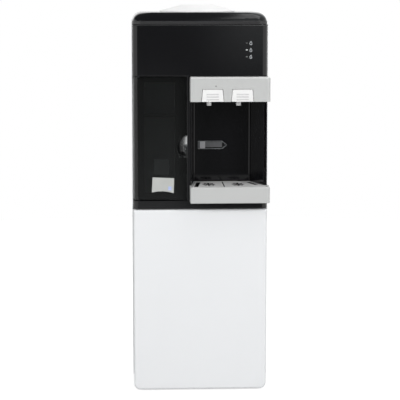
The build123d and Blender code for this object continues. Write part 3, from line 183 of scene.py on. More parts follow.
COIL_STEPS = 40
COIL_SIDES = 12
WIRE_SIDES = 12
GRIP_SIDES = 10
SCREW_SEGMENTS = 24
SCREW_RINGS = 12
DOME_SEGMENTS = 32
DOME_RINGS = 16
DROP_POINTS = 28
PIP_POINTS = 24
FLOOR_POINTS = 64

# Stage, in metres. The curtain in front of it is grey, with soft patches that the black front
# mirrors: each has its level and its ramps, from dark to lit, along an axis.

STAGE_MIDDLE = (0.0, 0.0, 0.55)
KEY_PLACE = (-2.1, -3.0, 1.9)
FILL_PLACE = (2.2, -2.9, 1.7)
SIDE_BOX = (1.2, 1.8)
TOP_PLACE = (0.75, -0.8, 3.0)
TOP_BOX = (1.0, 2.8)
WHITE = (1.0, 1.0, 1.0, 1.0)
FLOOR_REACH = 3.0
FLOOR_GREY = (0.50, 0.50, 0.50, 1.0)
FLOOR_GLOW = 0.75
CURTAIN_FRONT = -6.5
CURTAIN_HALF = 2.4
CURTAIN_LOW = -2.0
CANOPY_BACK = 6.0
CANOPY_HALF = 7.0
CANOPY_HEIGHT = 4.6
CURTAIN_TINT = (0.96, 1.0, 1.0, 1.0)
CURTAIN_LEVEL = 0.075
CURTAIN_PATCHES = (
    (0.18, (("X", 0.28, 0.14), ("Z", 0.54, 0.42))),
    (0.16, (("X", 0.28, 0.14), ("Z", 0.45, -0.45))),
    (0.50, (("X", 0.25, 0.66), ("Z", 0.30, 0.90))),
)
SENSOR_WIDTH = 36.0
CLIP_END = 100.0


# Sizes and colours that a user would change


def amount(name, description, default, **more):
    """A number, with its unit where it has one."""
    return bpy.props.FloatProperty(name=name, description=description, default=default, **more)


def length(name, description, default):
    """A length in metres."""
    return amount(name, description, default, min=0.0, unit="LENGTH", precision=5)


def tint(name, description, default):
    """A linear colour for a finish."""
    return bpy.props.FloatVectorProperty(
        name=name, description=description, default=default,
        size=3, min=0.0, max=1.0, subtype="COLOR",
    )


class DispenserColours(bpy.types.PropertyGroup):
    """Colours of the finishes."""

    cabinet_white: tint("Cabinet white", "Powder coat on the steel sides", (0.80, 0.81, 0.82))
    panel_white: tint("Panel white", "Moulded lower front panel", (0.738, 0.749, 0.762))
    seat_white: tint("Seat white", "Moulded bottle seat", (0.90, 0.90, 0.90))
    paddle_white: tint("Paddle white", "Paddles and cupboard tub", (0.75, 0.75, 0.745))
    gloss_black: tint("Gloss black", "Upper front, frame, bay and lid", (0.005, 0.005, 0.0058))
    smoke: tint("Smoke", "Tint of the see-through cupboard door", (0.105, 0.112, 0.112))
    silver: tint("Silver", "Lacquer on the fascia and the drip tray", (0.492, 0.499, 0.494))
    grille_silver: tint("Grille silver", "Matt lacquer on the drip grille", (0.58, 0.585, 0.58))
    nozzle_grey: tint("Nozzle grey", "Tap bodies and their nozzles", (0.80, 0.80, 0.80))
    lamp_glow: tint("Lamp glow", "Light of the lit indicator", (0.85, 0.90, 0.88))
    sticker_paper: tint("Sticker paper", "Plain label on the door", (0.43, 0.44, 0.425))
    print_grey: tint("Print grey", "Printed drops and the bay label's border", (0.24, 0.25, 0.26))


class DispenserSizes(bpy.types.PropertyGroup):
    """Sizes of the trim that the scene adds."""

    sheet_edge: length("Sheet edge", "Softened edge of the steel sheet", 0.3 * MM)
    moulded_edge: length("Moulded edge", "Softened edge of the mouldings", 0.6 * MM)
    sticker: length("Sticker thickness", "Thickness of the labels", 0.22 * MM)
    ink: length("Print thickness", "Thickness of the printed marks", 0.12 * MM)
    screw_radius: length("Screw head radius", "Panel screws on the back", 3.6 * MM)
    screw_height: length("Screw head height", "Panel screws on the back", 1.9 * MM)
    rib_radius: length("Grip rib radius", "Ribs round the drain caps", 0.9 * MM)
    hood_rise: length("Louvre rise", "Pressed hood over each rear vent", 2.6 * MM)


class DispenserStage(bpy.types.PropertyGroup):
    """Camera, lamps and background."""

    lens: amount("Lens", "Focal length", 139.3, unit="CAMERA")
    camera_x: length("Camera offset", "Camera left of the middle", 0.186)
    camera_z: length("Camera height", "Camera above the floor", 1.0)
    camera_y: length("Camera distance", "Camera in front of the origin", 4.0)
    aim_x: amount("Aim across", "Point aimed at", -0.0007, unit="LENGTH")
    aim_z: length("Aim height", "Height of the point aimed at", 0.4921)
    ambient: amount("Ambient", "Level of the room's light", 0.58, min=0.0)
    key_power: amount("Key", "Left softbox", 59.0, unit="POWER")
    fill_power: amount("Fill", "Right softbox", 52.0, unit="POWER")
    top_power: amount("Top", "Overhead softbox", 15.0, unit="POWER")


# Nodes


def add_node(tree, kind, links=(), **values):
    """A node with its settings, and its inputs linked or set."""
    node = tree.nodes.new(kind)
    for key, value in values.items():
        setattr(node, key, value)
    for socket, source in links:
        if hasattr(source, "is_output"):
            tree.links.new(source, node.inputs[socket])
        else:
            node.inputs[socket].default_value = source
    return node


def made(tree, kind, *links, **values):
    """The first output of a new node."""
    return add_node(tree, kind, links, **values).outputs[0]


def math_node(tree, operation, first, second, clamp=False):
    """One sum of two values."""
    return made(
        tree, "ShaderNodeMath", (0, first), (1, second), operation=operation, use_clamp=clamp
    )


def node_material(name):
    """A material and its node tree, with nothing in it."""
    material = bpy.data.materials.new(name)
    material.use_nodes = True
    material.node_tree.nodes.clear()
    return material, material.node_tree


def finish_surface(tree, shader, kind="ShaderNodeOutputMaterial"):
    """Ends a material or world in a shader."""
    tree.links.new(shader, add_node(tree, kind).inputs["Surface"])


# Shader node groups


def shader_group(name, inputs, outputs):
    """An empty shader node group; an input's default tells its kind, four numbers a colour's."""
    tree = bpy.data.node_groups.new(name, "ShaderNodeTree")
    for label, default in inputs.items():
        kind = "NodeSocketColor" if isinstance(default, tuple) else "NodeSocketFloat"
        socket = tree.interface.new_socket(label, in_out="INPUT", socket_type=kind)
        socket.default_value = default
    for label, kind in outputs.items():
        tree.interface.new_socket(label, in_out="OUTPUT", socket_type=kind)
    entry = tree.nodes.new("NodeGroupInput")
    leave = tree.nodes.new("NodeGroupOutput")
    return tree, entry.outputs, leave.inputs


def object_noise(tree, scale, detail=3.0, stretch=(1.0, 1.0, 1.0)):
    """Noise on the piece's own coordinates, from 0 to 1."""
    where = add_node(tree, "ShaderNodeTexCoord").outputs["Object"]
    place = made(tree, "ShaderNodeMapping", ("Vector", where), ("Scale", stretch))
    noise = add_node(
        tree, "ShaderNodeTexNoise", [("Vector", place), ("Scale", scale), ("Detail", detail)]
    )
    return noise.outputs["Fac"]


def tone_drift_group():
    """A colour that drifts a little lighter and darker over the surface."""
    tree, given, result = shader_group(
        "Tone drift",
        {"Colour": (0.8, 0.8, 0.8, 1.0), "Amount": 0.04, "Scale": 5.0},
        {"Colour": "NodeSocketColor"},
    )
    # The level is 1 + 2 * amount * (noise - 0.5).
    swing = math_node(tree, "SUBTRACT", object_noise(tree, given["Scale"]), 0.5)
    swing = math_node(tree, "MULTIPLY", swing, given["Amount"])
    level = math_node(tree, "MULTIPLY_ADD", swing, 2.0)
    level.node.inputs[2].default_value = 1.0
    shade = made(
        tree, "ShaderNodeVectorMath", (0, given["Colour"]), ("Scale", level), operation="SCALE"
    )
    tree.links.new(shade, result["Colour"])
    return tree


def fine_grain_group():
    """Height of a fine moulded or sprayed grain."""
    tree, given, result = shader_group(
        "Fine grain", {"Scale": 900.0, "Depth": 0.5}, {"Height": "NodeSocketFloat"}
    )
    noise = object_noise(tree, given["Scale"], detail=2.0)
    tree.links.new(math_node(tree, "MULTIPLY", noise, given["Depth"]), result["Height"])
    return tree


def drawn_lines_group():
    """Height of the fine lines that rolling or brushing leaves along one axis."""
    tree, given, result = shader_group(
        "Drawn lines", {"Scale": 300.0, "Depth": 0.2}, {"Height": "NodeSocketFloat"}
    )
    noise = object_noise(tree, given["Scale"], detail=2.0, stretch=LINE_STRETCH)
    tree.links.new(math_node(tree, "MULTIPLY", noise, given["Depth"]), result["Height"])
    return tree


def wipe_marks_group():
    """Roughness that changes where a cloth has wiped the surface."""
    tree, given, result = shader_group(
        "Wipe marks",
        {"Roughness": 0.2, "Amount": 0.05, "Scale": 7.0},
        {"Roughness": "NodeSocketFloat"},
    )
    noise = object_noise(tree, given["Scale"], detail=4.0, stretch=WIPE_STRETCH)
    swing = math_node(tree, "SUBTRACT", noise, WIPE_MIDDLE)
    swing = math_node(tree, "MULTIPLY", swing, given["Amount"])
    marks = math_node(tree, "ADD", given["Roughness"], swing, clamp=True)
    tree.links.new(marks, result["Roughness"])
    return tree


def settled_dust_group():
    """Pale dust on the faces that look up."""
    tree, given, result = shader_group(
        "Settled dust",
        {"Colour": (0.1, 0.1, 0.1, 1.0), "Dust": (0.30, 0.28, 0.26, 1.0), "Amount": 0.3},
        {"Colour": "NodeSocketColor"},
    )
    normal = add_node(tree, "ShaderNodeNewGeometry").outputs["Normal"]
    upward = add_node(tree, "ShaderNodeSeparateXYZ", [(0, normal)]).outputs["Z"]
    facing = made(
        tree, "ShaderNodeMapRange", ("Value", upward), ("From Min", DUST_SLOPE), ("From Max", 1.0)
    )
    patchy = math_node(tree, "MULTIPLY", object_noise(tree, DUST_SCALE, detail=5.0), facing)
    mask = math_node(tree, "MULTIPLY", patchy, given["Amount"], clamp=True)
    mixed = add_node(tree, "ShaderNodeMix", data_type="RGBA")
    # The colour sockets follow those for numbers and vectors, and share their names.
    tree.links.new(mask, mixed.inputs[0])
    tree.links.new(given["Colour"], mixed.inputs[6])
    tree.links.new(given["Dust"], mixed.inputs[7])
    tree.links.new(mixed.outputs[2], result["Colour"])
    return tree


GROUP_MAKERS = {
    "Tone drift": tone_drift_group,
    "Fine grain": fine_grain_group,
    "Drawn lines": drawn_lines_group,
    "Wipe marks": wipe_marks_group,
    "Settled dust": settled_dust_group,
}
GROUPS = {}


def from_group(tree, name, *links):
    """The output of a shared group, placed in a material with its own values."""
    if name not in GROUPS:
        GROUPS[name] = GROUP_MAKERS[name]()
    return made(tree, "ShaderNodeGroup", *links, node_tree=GROUPS[name])


# Finishes


def finish(name, colour, roughness, drift, **more):
    """A finish: a drifting colour, with wipe marks, grain, lines or dust where they are given."""
    material = bpy.data.materials.new(name)
    material.use_nodes = True
    tree = material.node_tree
    shader = tree.nodes["Principled BSDF"].inputs
    shift, scale = drift
    tone = from_group(
        tree, "Tone drift", ("Colour", (*colour, 1.0)), ("Amount", shift), ("Scale", scale)
    )
    if "dust" in more:
        tone = from_group(tree, "Settled dust", ("Colour", tone), ("Amount", more["dust"]))
    tree.links.new(tone, shader["Base Color"])
    if "wipe" in more:
        shift, scale = more["wipe"]
        marks = from_group(
            tree, "Wipe marks", ("Roughness", roughness), ("Amount", shift), ("Scale", scale)
        )
        tree.links.new(marks, shader["Roughness"])
    else:
        shader["Roughness"].default_value = roughness
    for kind, label in (("grain", "Fine grain"), ("lines", "Drawn lines")):
        if kind in more:
            scale, depth = more[kind]
            height = from_group(tree, label, ("Scale", scale), ("Depth", depth))
            bump = made(
                tree, "ShaderNodeBump",
                ("Height", height), ("Distance", BUMP_DISTANCE), ("Strength", BUMP_STRENGTH),
            )
            tree.links.new(bump, shader["Normal"])
    for socket, value in more.get("sockets", {}).items():
        shader[socket].default_value = value
    return material


def lamp_lens(colours):
    """Clear lens that glows by its row: the middle lamp lit, the lower dim and the upper dark."""
    material = finish("Lamp lens", (0.05, 0.05, 0.05), 0.2, drift=(0.02, 40.0))
    tree = material.node_tree
    shader = tree.nodes["Principled BSDF"].inputs
    where = add_node(tree, "ShaderNodeTexCoord").outputs["Object"]
    height = add_node(tree, "ShaderNodeSeparateXYZ", [(0, where)]).outputs["Z"]
    low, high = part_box("indicator_lamps")
    rise = made(
        tree, "ShaderNodeMapRange", ("Value", height), ("From Min", low.z), ("From Max", high.z)
    )
    ramp = add_node(tree, "ShaderNodeValToRGB", [("Fac", rise)])
    ramp.color_ramp.interpolation = "CONSTANT"
    stops = ramp.color_ramp.elements
    for place, (start, level) in enumerate(LAMP_ROWS):
        stop = stops[place] if place < len(stops) else stops.new(start)
        stop.position = start
        stop.color = (*(level * part for part in colours.lamp_glow), 1.0)
    tree.links.new(ramp.outputs["Color"], shader["Emission Color"])
    shader["Emission Strength"].default_value = 1.0
    return material


def make_finishes(colours):
    """Every finish, by the record's slot or by its own name."""
    return {
        "white_steel": finish(
            "Powder-coated steel", colours.cabinet_white, 0.38,
            drift=(0.012, 3.0), grain=(1400.0, 0.5), wipe=(0.08, 5.0),
        ),
        "white_panel": finish(
            "Moulded white panel", colours.panel_white, 0.30, drift=(0.012, 3.0), wipe=(0.10, 6.0)
        ),
        "seat_white": finish("Bottle seat white", colours.seat_white, 0.35, drift=(0.01, 8.0)),
        "white_plastic": finish(
            "Satin white plastic", colours.paddle_white, 0.32, drift=(0.01, 8.0)
        ),
        "black_gloss": finish(
            "Gloss black plastic", colours.gloss_black, 0.09, drift=(0.10, 6.0), wipe=(0.06, 9.0)
        ),
        # Satin black for the lid's rim, lighter than the gloss black: a painted highlight along
        # the rim.
        "satin_black_painted_highlight": finish(
            "Satin black plastic, painted highlight", (0.019, 0.019, 0.020), 0.38, drift=(0.08, 12.0)
        ),
        # A lighter strip along the top of the black upper front: a painted highlight at the seam
        # under the lid.
        "satin_edge_painted_highlight": finish("Satin edge, painted highlight", (0.050, 0.050, 0.052), 0.40, drift=(0.08, 20.0)),
        "smoked": finish(
            "Smoked acrylic", colours.smoke, 0.03, drift=(0.02, 6.0),
            sockets={"Transmission Weight": 1.0, "IOR": 1.47},
        ),
        "silver": finish(
            "Silver lacquer", colours.silver, 0.42,
            drift=(0.02, 9.0), grain=(2600.0, 0.6), wipe=(0.08, 12.0),
            sockets={"Metallic": 0.15, "Specular IOR Level": 0.35},
        ),
        # A lighter silver for the fascia's top edge: a painted highlight along it.
        "silver_edge_painted_highlight": finish("Silver edge, painted highlight", (0.66, 0.665, 0.66), 0.3, drift=(0.02, 9.0)),
        # Grey on the paddles' ribs: painted shade standing in for the shadow under each rib.
        "rib_painted_shade": finish("Grey grip ribs, painted shade", (0.58, 0.58, 0.585), 0.4, drift=(0.02, 60.0)),
        "matt_silver": finish(
            "Matt silver", colours.grille_silver, 0.75, drift=(0.03, 30.0), grain=(1800.0, 0.5),
            sockets={"Specular IOR Level": 0.12},
        ),
        # Near-black plastic as painted shade: the grille's walls, the tray's well and a disc in
        # each drain rosette.
        "painted_shade_plastic": finish(
            "Dark plastic, painted shade", (0.012, 0.012, 0.013), 0.7, drift=(0.1, 60.0)
        ),
        "nozzle_plastic": finish(
            "Nozzle plastic", colours.nozzle_grey, 0.35, drift=(0.03, 30.0)
        ),
        "lamp": lamp_lens(colours),
        "board_green": finish("Circuit board", (0.03, 0.16, 0.07), 0.35, drift=(0.2, 160.0)),
        "galvanised": finish(
            "Galvanised sheet", (0.50, 0.52, 0.53), 0.42,
            drift=(0.16, 60.0), lines=(260.0, 0.4), dust=0.25, sockets={"Metallic": 0.75},
        ),
        "stainless": finish(
            "Brushed stainless", (0.66, 0.67, 0.68), 0.28,
            drift=(0.05, 12.0), lines=(420.0, 0.5), sockets=METAL,
        ),
        "bright_steel": finish(
            "Bright zinc", (0.68, 0.68, 0.69), 0.26, drift=(0.05, 40.0), sockets=METAL
        ),
        # Dark steel for the door pins: painted shade where they show through the door's gap.
        "dark_steel_painted_shade": finish(
            "Dark steel, painted shade", (0.09, 0.09, 0.10), 0.4, drift=(0.1, 40.0), sockets=METAL
        ),
        "plated": finish(
            "Plated dish", (0.62, 0.63, 0.63), 0.10, drift=(0.1, 60.0), sockets=METAL
        ),
        "magnet": finish(
            "Sintered magnet", (0.07, 0.07, 0.08), 0.6, drift=(0.2, 120.0), grain=(900.0, 0.8)
        ),
        "black_metal": finish(
            "Black enamel", (0.018, 0.018, 0.020), 0.36,
            drift=(0.12, 14.0), grain=(900.0, 0.6), dust=0.32,
        ),
        "copper": finish(
            "Drawn copper", (0.58, 0.29, 0.17), 0.32,
            drift=(0.18, 22.0), wipe=(0.2, 30.0), sockets=METAL,
        ),
        "rubber_black": finish(
            "Black rubber", (0.022, 0.022, 0.022), 0.65,
            drift=(0.12, 30.0), grain=(700.0, 0.7), dust=0.25,
        ),
        "silicone": finish(
            "Milky silicone", (0.74, 0.74, 0.72), 0.45, drift=(0.05, 20.0),
            sockets={"Subsurface Weight": 0.2, "Subsurface Scale": 0.004},
        ),
        "foam": finish(
            "Foam", (0.76, 0.75, 0.71), 0.85, drift=(0.08, 260.0), grain=(420.0, 1.0)
        ),
        "dark_plastic": finish(
            "Dark moulded plastic", (0.040, 0.040, 0.044), 0.48,
            drift=(0.10, 16.0), grain=(800.0, 0.6), dust=0.22,
        ),
        "red_plastic": finish("Red rocker", (0.42, 0.022, 0.018), 0.25, drift=(0.05, 40.0)),
        "green_plastic": finish("Green rocker", (0.025, 0.24, 0.06), 0.25, drift=(0.05, 40.0)),
        "sticker": finish(
            "Sticker paper", colours.sticker_paper, 0.42, drift=(0.06, 45.0), wipe=(0.1, 40.0)
        ),
        "seal": finish("Blue seal", (0.40, 0.47, 0.72), 0.3, drift=(0.2, 120.0)),
        "print": finish("Grey print", colours.print_grey, 0.4, drift=(0.04, 60.0)),
        "light_print": finish("Light print", (0.33, 0.33, 0.345), 0.4, drift=(0.12, 160.0)),
        "dim_print": finish("Dim print", (0.080, 0.082, 0.086), 0.4, drift=(0.2, 160.0)),
        "film": finish("Dark film", (0.0075, 0.0085, 0.0085), 0.16, drift=(0.1, 20.0)),
        "pip": finish("Lamp pip", (0.20, 0.20, 0.20), 0.3, drift=(0.05, 60.0)),
    }


FINISHES = {}


def finish_of(key):
    """The finish of a slot; all of them are made on first use."""
    if not FINISHES:
        FINISHES.update(make_finishes(bpy.context.scene.dispenser_colours))
    return FINISHES[key]


# Pieces


def link_piece(name, mesh, key, body):
    """An object at the origin that wears a finish and moves with a body."""
    piece = bpy.data.objects.new(name, mesh)
    bpy.context.scene.collection.objects.link(piece)
    mesh.materials.clear()
    mesh.materials.append(finish_of(key))
    for face in mesh.polygons:
        face.material_index = 0
    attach(piece, body)
    return piece


def body_of_node(node):
    """The CAD body that a node belongs to."""
    return frame["nodes"][node]["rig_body"]


def settle(piece):
    """Puts the modifiers' result into the piece's mesh."""
    depsgraph = bpy.context.evaluated_depsgraph_get()
    mesh = bpy.data.meshes.new_from_object(piece.evaluated_get(depsgraph))
    piece.modifiers.clear()
    piece.data = mesh
    return mesh


def dress(node, edge=0.0, key=None):
    """A merged, evenly shaded copy of a CAD node with softened edges, shown in its place."""
    mesh = frame["nodes"][node].data.copy()
    if "custom_normal" in mesh.attributes:
        mesh.attributes.remove(mesh.attributes["custom_normal"])
    work = bmesh.new()
    work.from_mesh(mesh)
    bmesh.ops.remove_doubles(work, verts=work.verts, dist=MERGE_DISTANCE)
    if edge:
        bmesh.ops.dissolve_limit(
            work, angle_limit=FLAT_ANGLE, verts=work.verts, edges=work.edges
        )
    work.to_mesh(mesh)
    work.free()
    mesh.name = node + "_dressed"
    slot = SLOT_OF_NODE[node]
    piece = link_piece(node + "_dressed", mesh, key or slot, body_of_node(node))
    mesh.shade_smooth()
    mesh.set_sharp_from_angle(angle=CREASE_ANGLE)
    if edge:
        bevel = piece.modifiers.new("Softened edges", "BEVEL")
        bevel.width = edge
        bevel.segments = BEVEL_SEGMENTS
        bevel.limit_method = "ANGLE"
        bevel.angle_limit = CREASE_ANGLE
        bevel.use_clamp_overlap = True
        bevel.harden_normals = False
    weighted = piece.modifiers.new("Even shading", "WEIGHTED_NORMAL")
    weighted.keep_sharp = True
    settle(piece)
    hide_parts(node)
    return piece


def refinish(piece, key, chosen):
    """Gives the chosen faces of a piece a finish of their own."""
    piece.data.materials.append(finish_of(key))
    for face in piece.data.polygons:
        if chosen(face):
            face.material_index = 1


def turns(count):
    """Angles that divide a full turn."""
    return [2 * math.pi * step / count for step in range(count)]


def prism(name, outlines, y_face, depth, key, body):
    """A thin plate from (x, z) outlines in millimetres, its face at y_face towards the front.

    A second outline with as many points is a hole in the first."""
    rings = [[(x * MM, z * MM) for x, z in outline] for outline in outlines]
    work = bmesh.new()
    layers = []
    for y in (y_face, y_face + depth):
        layers.append([[work.verts.new((x, y, z)) for x, z in ring] for ring in rings])
    count = len(rings[0])
    for index in range(count):
        after = (index + 1) % count
        for front, back in zip(*layers):
            work.faces.new((front[index], front[after], back[after], back[index]))
        if len(rings) == 2:
            for outer, inner in layers:
                work.faces.new((outer[index], outer[after], inner[after], inner[index]))
    if len(rings) == 1:
        for layer in layers:
            work.faces.new(layer[0])
    bmesh.ops.recalc_face_normals(work, faces=work.faces)
    mesh = bpy.data.meshes.new(name)
    work.to_mesh(mesh)
    work.free()
    return link_piece(name, mesh, key, body)


# Geometry Nodes


def geometry_tree(name, sizes, count=None):
    """An empty geometry node tree with named sizes, and its end in a plain mesh with a material.

    A tree that repeats a shape by number has an input for that count too."""
    tree = bpy.data.node_groups.new(name, "GeometryNodeTree")
    tree.is_modifier = True
    sockets = {"Geometry": "NodeSocketGeometry", **dict.fromkeys(sizes, "NodeSocketFloat")}
    if count:
        sockets[count] = "NodeSocketInt"
    sockets["Material"] = "NodeSocketMaterial"
    for label, kind in sockets.items():
        tree.interface.new_socket(label, in_out="INPUT", socket_type=kind)
    tree.interface.new_socket("Geometry", in_out="OUTPUT", socket_type="NodeSocketGeometry")
    entry = tree.nodes.new("NodeGroupInput").outputs
    leave = tree.nodes.new("NodeGroupOutput").inputs

    def close(shape):
        smooth = made(
            tree, "GeometryNodeSetShadeSmooth", ("Geometry", shape), ("Shade Smooth", True)
        )
        real = made(tree, "GeometryNodeRealizeInstances", ("Geometry", smooth))
        painted = made(
            tree, "GeometryNodeSetMaterial", ("Geometry", real), ("Material", entry["Material"])
        )
        tree.links.new(painted, leave["Geometry"])
        return tree

    return tree, entry, close


def vector(tree, x=0.0, y=0.0, z=0.0):
    """A vector from three values."""
    return made(tree, "ShaderNodeCombineXYZ", ("X", x), ("Y", y), ("Z", z))


def moved(tree, shape, socket, value):
    """A shape after one of the Transform node's settings."""
    return made(tree, "GeometryNodeTransform", ("Geometry", shape), (socket, value))


def joined(tree, shapes):
    """Several shapes as one."""
    node = add_node(tree, "GeometryNodeJoinGeometry")
    for shape in shapes:
        tree.links.new(shape, node.inputs[0])
    return node.outputs[0]


def on_points(tree, points, shape):
    """The shape, set on every point."""
    return made(tree, "GeometryNodeInstanceOnPoints", ("Points", points), ("Instance", shape))


def ball(tree, segments, rings, radius):
    """A sphere of quads with triangles at its poles."""
    return made(
        tree, "GeometryNodeMeshUVSphere",
        ("Segments", segments), ("Rings", rings), ("Radius", radius),
    )


def rod(tree, sides, radius, reach):
    """An upright cylinder."""
    return made(
        tree, "GeometryNodeMeshCylinder",
        ("Vertices", sides), ("Radius", radius), ("Depth", reach),
    )


def screw_tree():
    """Low domed screw heads with a cross recess, facing the back, on the points given."""
    tree, given, close = geometry_tree("Panel screws", ("Head Radius", "Head Height", "Recess"))
    radius, height, recess = given["Head Radius"], given["Head Height"], given["Recess"]
    flat = math_node(tree, "DIVIDE", height, radius)
    dome = ball(tree, SCREW_SEGMENTS, SCREW_RINGS, radius)
    dome = moved(tree, dome, "Scale", vector(tree, 1.0, flat, 1.0))
    span = math_node(tree, "MULTIPLY", radius, RECESS_SPAN)
    arms = [
        made(tree, "GeometryNodeMeshCube", ("Size", vector(tree, wide, height, tall)))
        for wide, tall in ((span, recess), (recess, span))
    ]
    rise = math_node(tree, "MULTIPLY", height, RECESS_RISE)
    cross = moved(tree, joined(tree, arms), "Translation", vector(tree, 0.0, rise))
    head = made(
        tree, "GeometryNodeMeshBoolean", ("Mesh 1", dome), ("Mesh 2", cross),
        operation="DIFFERENCE",
    )
    return close(on_points(tree, given["Geometry"], head))


def dome_tree(name):
    """Low domes, one on each point."""
    tree, given, close = geometry_tree(name, ("Length", "Rise", "Height"))
    half_length = math_node(tree, "MULTIPLY", given["Length"], 0.5)
    half_height = math_node(tree, "MULTIPLY", given["Height"], 0.5)
    size = vector(tree, half_length, given["Rise"], half_height)
    dome = moved(tree, ball(tree, DOME_SEGMENTS, DOME_RINGS, 1.0), "Scale", size)
    return close(on_points(tree, given["Geometry"], dome))


def grip_tree():
    """A ring of grip ribs along Y round each point."""
    tree, given, close = geometry_tree(
        "Grip ribs", ("Ring Radius", "Rib Radius", "Length"), "Ribs"
    )
    circle = made(
        tree, "GeometryNodeMeshCircle",
        ("Vertices", given["Ribs"]), ("Radius", given["Ring Radius"]),
    )
    rib = rod(tree, GRIP_SIDES, given["Rib Radius"], given["Length"])
    ring = moved(tree, on_points(tree, circle, rib), "Rotation", (math.radians(90), 0.0, 0.0))
    return close(on_points(tree, given["Geometry"], ring))


def wire_tree():
    """Two rows of upright wires, in front of and behind a tube's plane, from one point."""
    tree, given, close = geometry_tree(
        "Condenser wires", ("Pitch", "Row Gap", "Wire Radius", "Length"), "Wires"
    )
    row = made(
        tree, "GeometryNodeMeshLine",
        ("Count", given["Wires"]), ("Offset", vector(tree, given["Pitch"])),
    )
    rows = []
    for side in (-0.5, 0.5):
        gap = math_node(tree, "MULTIPLY", given["Row Gap"], side)
        rows.append(moved(tree, row, "Translation", vector(tree, 0.0, gap)))
    wire = rod(tree, WIRE_SIDES, given["Wire Radius"], given["Length"])
    grid = on_points(tree, joined(tree, rows), wire)
    return close(on_points(tree, given["Geometry"], grid))


def coil_tree():
    """A wound wire or tube that rises from each point."""
    tree, given, close = geometry_tree(
        "Wound coil", ("Turns", "Coil Radius", "Wire Radius", "Rise")
    )
    path = made(
        tree, "GeometryNodeCurveSpiral",
        ("Resolution", COIL_STEPS), ("Rotations", given["Turns"]),
        ("Start Radius", given["Coil Radius"]), ("End Radius", given["Coil Radius"]),
        ("Height", given["Rise"]),
    )
    section = made(
        tree, "GeometryNodeCurvePrimitiveCircle",
        ("Resolution", COIL_SIDES), ("Radius", given["Wire Radius"]),
    )
    wire = made(
        tree, "GeometryNodeCurveToMesh",
        ("Curve", path), ("Profile Curve", section), ("Fill Caps", True),
    )
    return close(on_points(tree, given["Geometry"], wire))


def grow(name, tree, points, inputs, key, body):
    """The plain mesh that a tree makes on a set of points, as a piece."""
    mesh = bpy.data.meshes.new(name + "_points")
    mesh.from_pydata([tuple(point) for point in points], [], [])
    host = bpy.data.objects.new(name + "_host", mesh)
    bpy.context.scene.collection.objects.link(host)
    modifier = host.modifiers.new(tree.name, "NODES")
    modifier.node_group = tree
    wanted = {**inputs, "Material": finish_of(key)}
    for socket in tree.interface.items_tree:
        if socket.item_type == "SOCKET" and socket.in_out == "INPUT" and socket.name in wanted:
            modifier[socket.identifier] = wanted[socket.name]
    bpy.context.view_layer.update()
    grown = settle(host)
    bpy.data.objects.remove(host)
    grown.name = name
    return link_piece(name, grown, key, body)


def wind(node, tree, wire, coils, key):
    """A lighter winding in place of a wound CAD node."""
    low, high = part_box(node)
    inputs = {
        "Turns": coils,
        "Coil Radius": (high.x - low.x) / 2 - wire,
        "Wire Radius": wire,
        "Rise": high.z - low.z - 2 * wire,
    }
    start = ((low.x + high.x) / 2, (low.y + high.y) / 2, low.z + wire)
    coil = grow(node + "_dressed", tree, [start], inputs, key, "cabinet")
    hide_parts(node)
    return coil


# Operators


class DISPENSER_OT_cabinet(bpy.types.Operator):
    """Coated steel sides, galvanised back, moulded base and rubber feet."""

    bl_idname = "dispenser.cabinet"
    bl_label = "Cabinet"

    def execute(self, context):
        sizes = context.scene.dispenser_sizes
        for node in ("left_side_panel", "right_side_panel", "rear_panel"):
            dress(node, sizes.sheet_edge)
        dress("base_pan", sizes.moulded_edge)
        dress("feet")
        return {"FINISHED"}


class DISPENSER_OT_front_mouldings(bpy.types.Operator):
    """White lower panel and the black upper front, frame and bay."""

    bl_idname = "dispenser.front_mouldings"
    bl_label = "Front mouldings"

    def execute(self, context):
        edge = context.scene.dispenser_sizes.moulded_edge
        for node in ("lower_front_panel", "bay_liner"):
            dress(node, edge)
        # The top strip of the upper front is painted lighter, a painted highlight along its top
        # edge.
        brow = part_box("upper_front_panel")[1].z - BROW_EDGE * MM
        panel = dress("upper_front_panel", edge)
        refinish(panel, "satin_edge_painted_highlight", lambda face: face.center.z > brow)
        refinish(dress("front_frame", edge), "plated", self.in_dish)
        return {"FINISHED"}

    def in_dish(self, face):
        """True on the plated hollow behind the door's finger pull."""
        x, y, z = face.center / MM
        half_wide, half_tall = PULL_HALF
        inside = PULL_X - half_wide < x < PULL_X and abs(z - PULL_Z) < half_tall
        return inside and PULL_FACE < y < PULL_FACE + half_wide


class DISPENSER_OT_top(bpy.types.Operator):
    """Black lid with a satin rim, its lighter colour a painted highlight, and white bottle seat.
    """

    bl_idname = "dispenser.top"
    bl_label = "Lid and bottle seat"

    def execute(self, context):
        edge = context.scene.dispenser_sizes.moulded_edge
        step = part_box("top_cover")[0].z + LID_RIM * MM
        # The rim below the step gets the lighter satin colour, a painted highlight along the lid's
        # rim.
        refinish(dress("top_cover", edge), "satin_black_painted_highlight", lambda face: face.center.z < step)
        dress("bottle_seat", edge, "seat_white")
        return {"FINISHED"}


class DISPENSER_OT_cup_cupboard(bpy.types.Operator):
    """Smoked door, its catch and pivots, the white tub and the shelf."""

    bl_idname = "dispenser.cup_cupboard"
    bl_label = "Cup cupboard"

    def execute(self, context):
        edge = context.scene.dispenser_sizes.moulded_edge
        for node in ("cup_door", "cupboard_liner", "cup_shelf"):
            dress(node, edge)
        # The pins are coloured dark, painted shade in the gap beside the door.
        dress("door_pins", key="dark_steel_painted_shade")
        dress("door_strike")
        dress("door_magnet")
        return {"FINISHED"}


